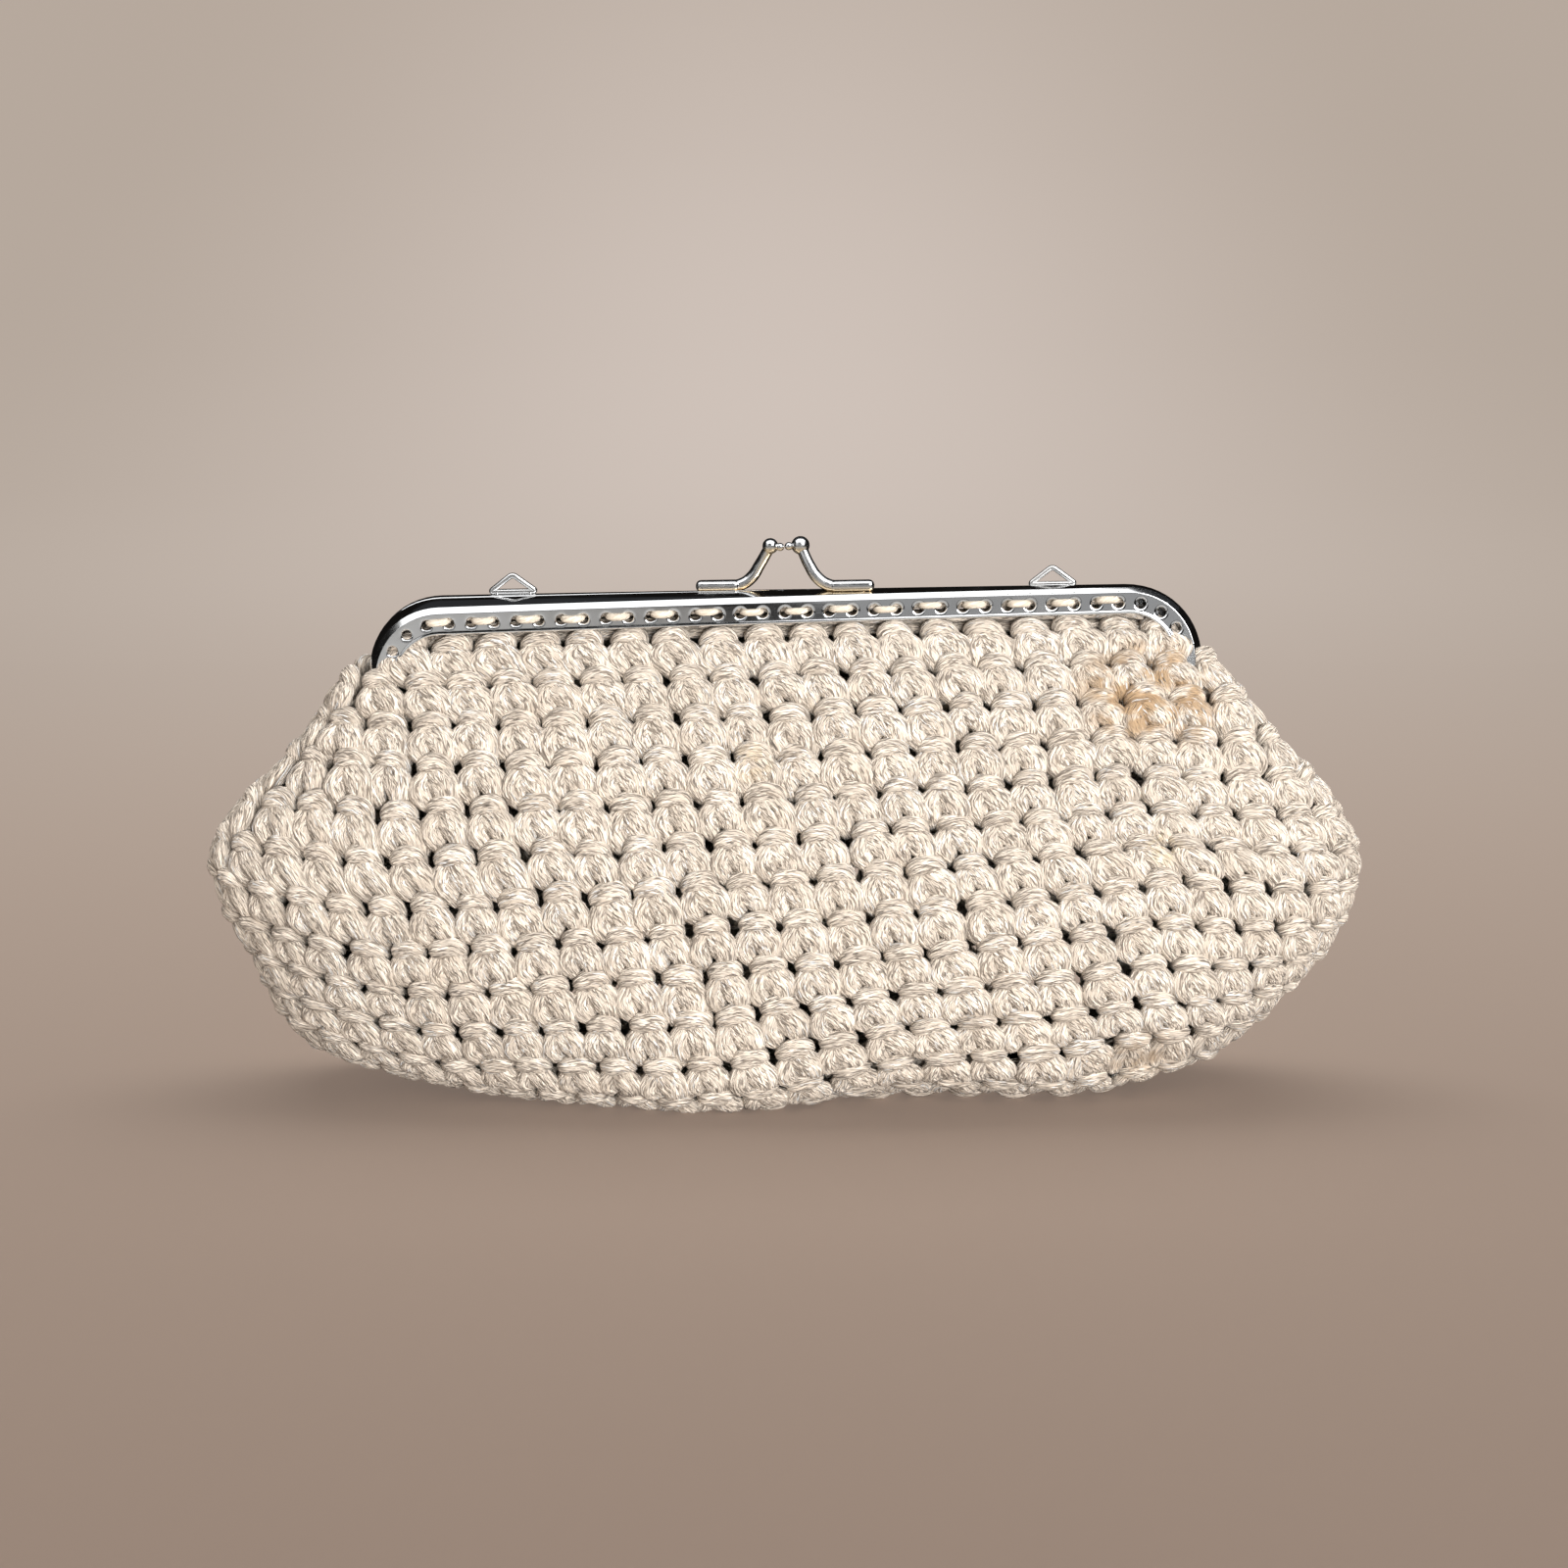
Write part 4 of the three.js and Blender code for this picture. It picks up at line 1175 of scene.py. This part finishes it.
def chain_loop(place):
    deselect_all()
    low = HINGE_DROP - LOOP_SINK + WIRE_RADIUS
    corners = ((-LOOP_HALF_WIDTH, low), (LOOP_HALF_WIDTH, low), (0, low + LOOP_HEIGHT))
    bpy.ops.mesh.primitive_circle_add(vertices=3, fill_type="NOTHING")
    loop = bpy.context.object
    for point, (x, z) in zip(loop.data.vertices, corners):
        point.co = Vector((place + x, LOOP_SEAT, z)) * MM
    edit_all()
    bpy.ops.mesh.bevel(offset=LOOP_BEND * MM, segments=6, affect="VERTICES")
    leave_edit()
    bpy.ops.object.convert(target="CURVE")
    loop = bpy.context.object
    loop.data.bevel_depth = WIRE_RADIUS * MM
    loop.data.bevel_resolution = 5
    bpy.ops.object.convert(target="MESH")
    pieces = [bpy.context.object]
    peg_length, peg_z = low - HINGE_DROP + PEG_DEPTH, (low + HINGE_DROP - PEG_DEPTH) / 2
    for end in (-1, 1):
        peg_place = (place + end * LOOP_PEG_SPREAD, LOOP_SEAT, peg_z)
        pieces.append(cylinder(20, WIRE_RADIUS, peg_length, peg_place))
    return join_pieces(pieces)


for side, place in LOOP_PLACES.items():
    name = "chain_loop_" + side
    loop = chain_loop(place)
    shade_by_angle(loop, 50)
    bake_place(loop, twist_matrix(place))
    finish_metal(loop, name, clasp_material)

# %% [markdown]
# ## The sewing
# A running stitch in cream cotton holds the crochet in the channel. It comes out of one hole and
# goes back into the next, so it shows as short bars with bare metal between them. The crochet's
# rim, three cords, runs up inside each channel, where the needle catches it. Both are swept like
# the stitches, along the row of holes, and twisted onto the frame with it.

# %% Thread bars and rim cords
BAR_STEPS = 12
BAR_SIDES = 8
# Each row has the share of the way to the next hole, the drop and the way out of the flange
BAR_PATH = np.array((
    (0.08, 0, -2.4), (0.12, 0, -0.9), (0.26, 0, 0.3), (0.5, 0, 0.6), (0.74, 0, 0.3),
    (0.88, 0, -0.9), (0.92, 0, -2.4),
))
BAR_RADIUS = 0.85
BAR_LAST = 15
BAR_DROP = -0.35
BAR_UNEVEN = {"drop": 0.15, "out": 0.1, "radius": (0.92, 1.08)}
# Each rim cord has its drop below the holes, its way out of the flange and its reach
RIM_CORDS = ((-1.3, -2.8, 84), (2.2, -3.6, 87), (5.0, -5.8, 90))
RIM_RADIUS = 1.45
RIM_STEPS = 60


def onto_flange(points, side):
    walk, drop, out = points.T
    x, z = along_frame(walk, HOLE_INSET + drop)
    return onto_frame(np.stack((x, side * (FLANGE_FACE + out), z - HINGE_DROP), axis=-1))


def swept_on_flange(path, radius, side):
    radii = np.full(len(path), radius)
    points, quads, uvs = swept_strand(path, radii, radii, BAR_SIDES)
    facing = quads[:, ::-1] if side > 0 else quads
    return onto_flange(points, side), facing, uvs + rng.uniform(0, MAP_SLIDE, 2)


bars = []
smooth_bar = spline_rows(BAR_PATH, np.linspace(0, len(BAR_PATH) - 1, BAR_STEPS + 1))
for side in (-1, 1):
    for first in range(-BAR_LAST - 1, BAR_LAST, 2):
        drop = BAR_DROP + rng.normal(0, BAR_UNEVEN["drop"])
        out = rng.normal(0, BAR_UNEVEN["out"])
        path = smooth_bar * (HOLE_PITCH, 1, 1) + (first * HOLE_PITCH, drop, out)
        radius = BAR_RADIUS * rng.uniform(*BAR_UNEVEN["radius"])
        bars.append(swept_on_flange(path, radius, side))
mesh_from_arrays("sewing_thread", bars, thread_material)

cords = []
for side in (-1, 1):
    for drop, out, reach in RIM_CORDS:
        walk = np.linspace(-reach, reach, RIM_STEPS + 1)
        path = np.stack((walk, np.full_like(walk, drop), np.full_like(walk, out)), axis=-1)
        cords.append(swept_on_flange(path, RIM_RADIUS, side))
mesh_from_arrays("crochet_rim", cords, cord_material, "crochet_body")
print(len(bars), "bars of thread and", len(cords), "rim cords")

# %% [markdown]
# ## Floor and light
# The bag stands on plain paper that curves up all round into a backdrop, so no horizon shows from
# any side. It glows evenly, paler with distance and in a halo behind the clasp, so its tone doesn't
# depend on the lamps. Chrome mirrors what is around it, so for mirror rays the paper is dark further
# off, as a room behind a studio table is.

# %% Stage
STAGE_CENTRE = Vector((0, -0.45, 0))
STAGE_NEAR = (0.30, 0.228, 0.18)
STAGE_FAR = (0.2, 0.169, 0.146)
STAGE_ROUGH = 0.9
GLOW_NEAR = (0.115, 0.085, 0.07)
GLOW_FAR = (0.405, 0.347, 0.30)
STAGE_FADE = (-0.1, 2.0)
HALO_PLACE = Vector((0, 2.0, 0.12))
HALO_NARROW = Vector((1, 0.4, 0.8))
HALO_REACH = 0.8
HALO_COLOUR = (0.155, 0.145, 0.148)
MIRROR_NEAR = (0.8, 0.82, 0.82)
MIRROR_FAR = (0.02, 0.02, 0.02)
MIRROR_FADE = (0.42, 0.66)
STAGE_FLAT = 1.1
# Each ring of the stage has its radius and its height, in metres
STAGE_RISE = (
    (1.35, 0.0), (1.75, 0.04), (2.15, 0.16), (2.45, 0.38), (2.62, 0.7), (2.7, 1.2), (2.72, 2.2),
)


def vector_node(tree, operation, first, second):
    made = new_node(tree, "VectorMath")
    made.operation = operation
    connect(tree, first, made.inputs[0])
    connect(tree, second, made.inputs[1])
    return made.outputs


def make_stage_material():
    material, tree, shader = new_material("stage_paper")
    place = object_place(tree)
    reach = vector_node(tree, "DISTANCE", place, STAGE_CENTRE)["Value"]
    far = step_node(tree, reach, *STAGE_FADE)
    glow = colour_node(tree, far, GLOW_NEAR, GLOW_FAR)
    narrowed = vector_node(tree, "MULTIPLY", place, HALO_NARROW)["Vector"]
    off_halo = vector_node(tree, "DISTANCE", narrowed, HALO_PLACE * HALO_NARROW)["Value"]
    halo = step_node(tree, off_halo, HALO_REACH, 0.0)
    lighter = [up + more for up, more in zip(GLOW_FAR, HALO_COLOUR)]
    set_inputs(
        tree, shader, Base_Color=colour_node(tree, far, STAGE_NEAR, STAGE_FAR),
        Roughness=STAGE_ROUGH, Emission_Color=colour_node(tree, halo, glow, lighter),
        Emission_Strength=1.0,
    )
    beyond = step_node(tree, reach, *MIRROR_FADE)
    dark = new_node(tree, "BsdfDiffuse", Color=colour_node(tree, beyond, MIRROR_NEAR, MIRROR_FAR))
    choose = new_node(tree, "MixShader", Fac=new_node(tree, "LightPath").outputs["Is Glossy Ray"])
    tree.links.new(shader.outputs["BSDF"], choose.inputs[1])
    tree.links.new(dark.outputs["BSDF"], choose.inputs[2])
    tree.links.new(choose.outputs["Shader"], tree.nodes["Material Output"].inputs["Surface"])
    return material


def make_stage():
    deselect_all()
    bpy.ops.mesh.primitive_circle_add(vertices=96, radius=STAGE_FLAT, fill_type="NGON")
    stage = bpy.context.object
    stage.name = "stage"
    edit_all()
    bpy.ops.mesh.region_to_loop()
    radius, height = STAGE_FLAT, 0.0
    for reach, rise in STAGE_RISE:
        bpy.ops.mesh.extrude_edges_move(TRANSFORM_OT_translate={"value": (0, 0, rise - height)})
        grow = reach / radius
        bpy.ops.transform.resize(value=(grow, grow, 1), center_override=(0, 0, 0))
        radius, height = reach, rise
    leave_edit()
    bpy.ops.object.shade_smooth()
    stage.data.materials.append(make_stage_material())
    return stage


stage = make_stage()
print("stage is", round(2 * STAGE_RISE[-1][0], 2), "m across")

# %% [markdown]
# Lamps are linked to what they light. Those for the bag don't reach the paper, and the floor pool
# lights the paper alone, so that the bag's soft shadow lies in front of it. The overhead panel, the
# key and the cards are mirrored in the chrome, and the fills aren't, so they only lift the crochet.

# %% Lights
# Each lamp has its name, what it lights, place, size, watts and whether the chrome mirrors it
LIGHTS = (
    ("overhead", "bag", (0, -0.35, 1.0), (2.2, 0.9), 10.5, True),
    ("key", "bag", (0.75, -1.0, 0.75), (0.6, 0.6), 10, True),
    ("front_card", "bag", (0.1, -1.5, 0.32), (1.6, 0.5), 0.8, True),
    ("front_fill", "bag", (0.4, -1.4, 0.22), (0.7, 0.4), 4.5, False),
    ("low_fill", "bag", (0.4, -1.1, 0.06), (0.9, 0.1), 15.5, False),
    ("side_fill", "bag", (-0.9, -0.9, 0.5), (0.8, 0.8), 1.2, True),
    ("rear", "bag", (0, 1.1, 0.8), (1.2, 0.6), 28, False),
    ("floor_pool", "stage", (0, 0.3, 0.88), (1.2, 0.5), 6.2, False),
)
LIGHT_AIM = Vector((0, 0, 0.07))
AIR_COLOUR = (0.9, 0.93, 1.0, 1)
AIR = 0.12
AIR_MIRRORED = 0.03

lit = {name: bpy.data.collections.new("lit_" + name) for name in ("bag", "stage")}
for piece in bpy.context.scene.objects:
    if piece.type == "MESH":
        lit["stage" if piece is stage else "bag"].objects.link(piece)

for name, lights_up, place, size, watts, mirrored in LIGHTS:
    bpy.ops.object.light_add(type="AREA", location=place)
    light = bpy.context.object
    light.name = name
    light.rotation_euler = (LIGHT_AIM - Vector(place)).to_track_quat("-Z", "Y").to_euler()
    light.data.shape = "RECTANGLE"
    light.data.size, light.data.size_y = size
    light.data.energy = watts
    light.visible_glossy = mirrored
    light.light_linking.receiver_collection = lit[lights_up]

world = bpy.data.worlds.new("studio_air")
bpy.context.scene.world = world
world.use_nodes = True
air = world.node_tree
sky = air.nodes["Background"]
mirror_ray = new_node(air, "LightPath").outputs["Is Glossy Ray"]
strength = value_node(air, "MULTIPLY_ADD", mirror_ray, AIR_MIRRORED - AIR, AIR)
set_inputs(air, sky, Color=AIR_COLOUR, Strength=strength)
bpy.context.scene.view_settings.view_transform = "Standard"
print("lights:", [row[0] for row in LIGHTS])
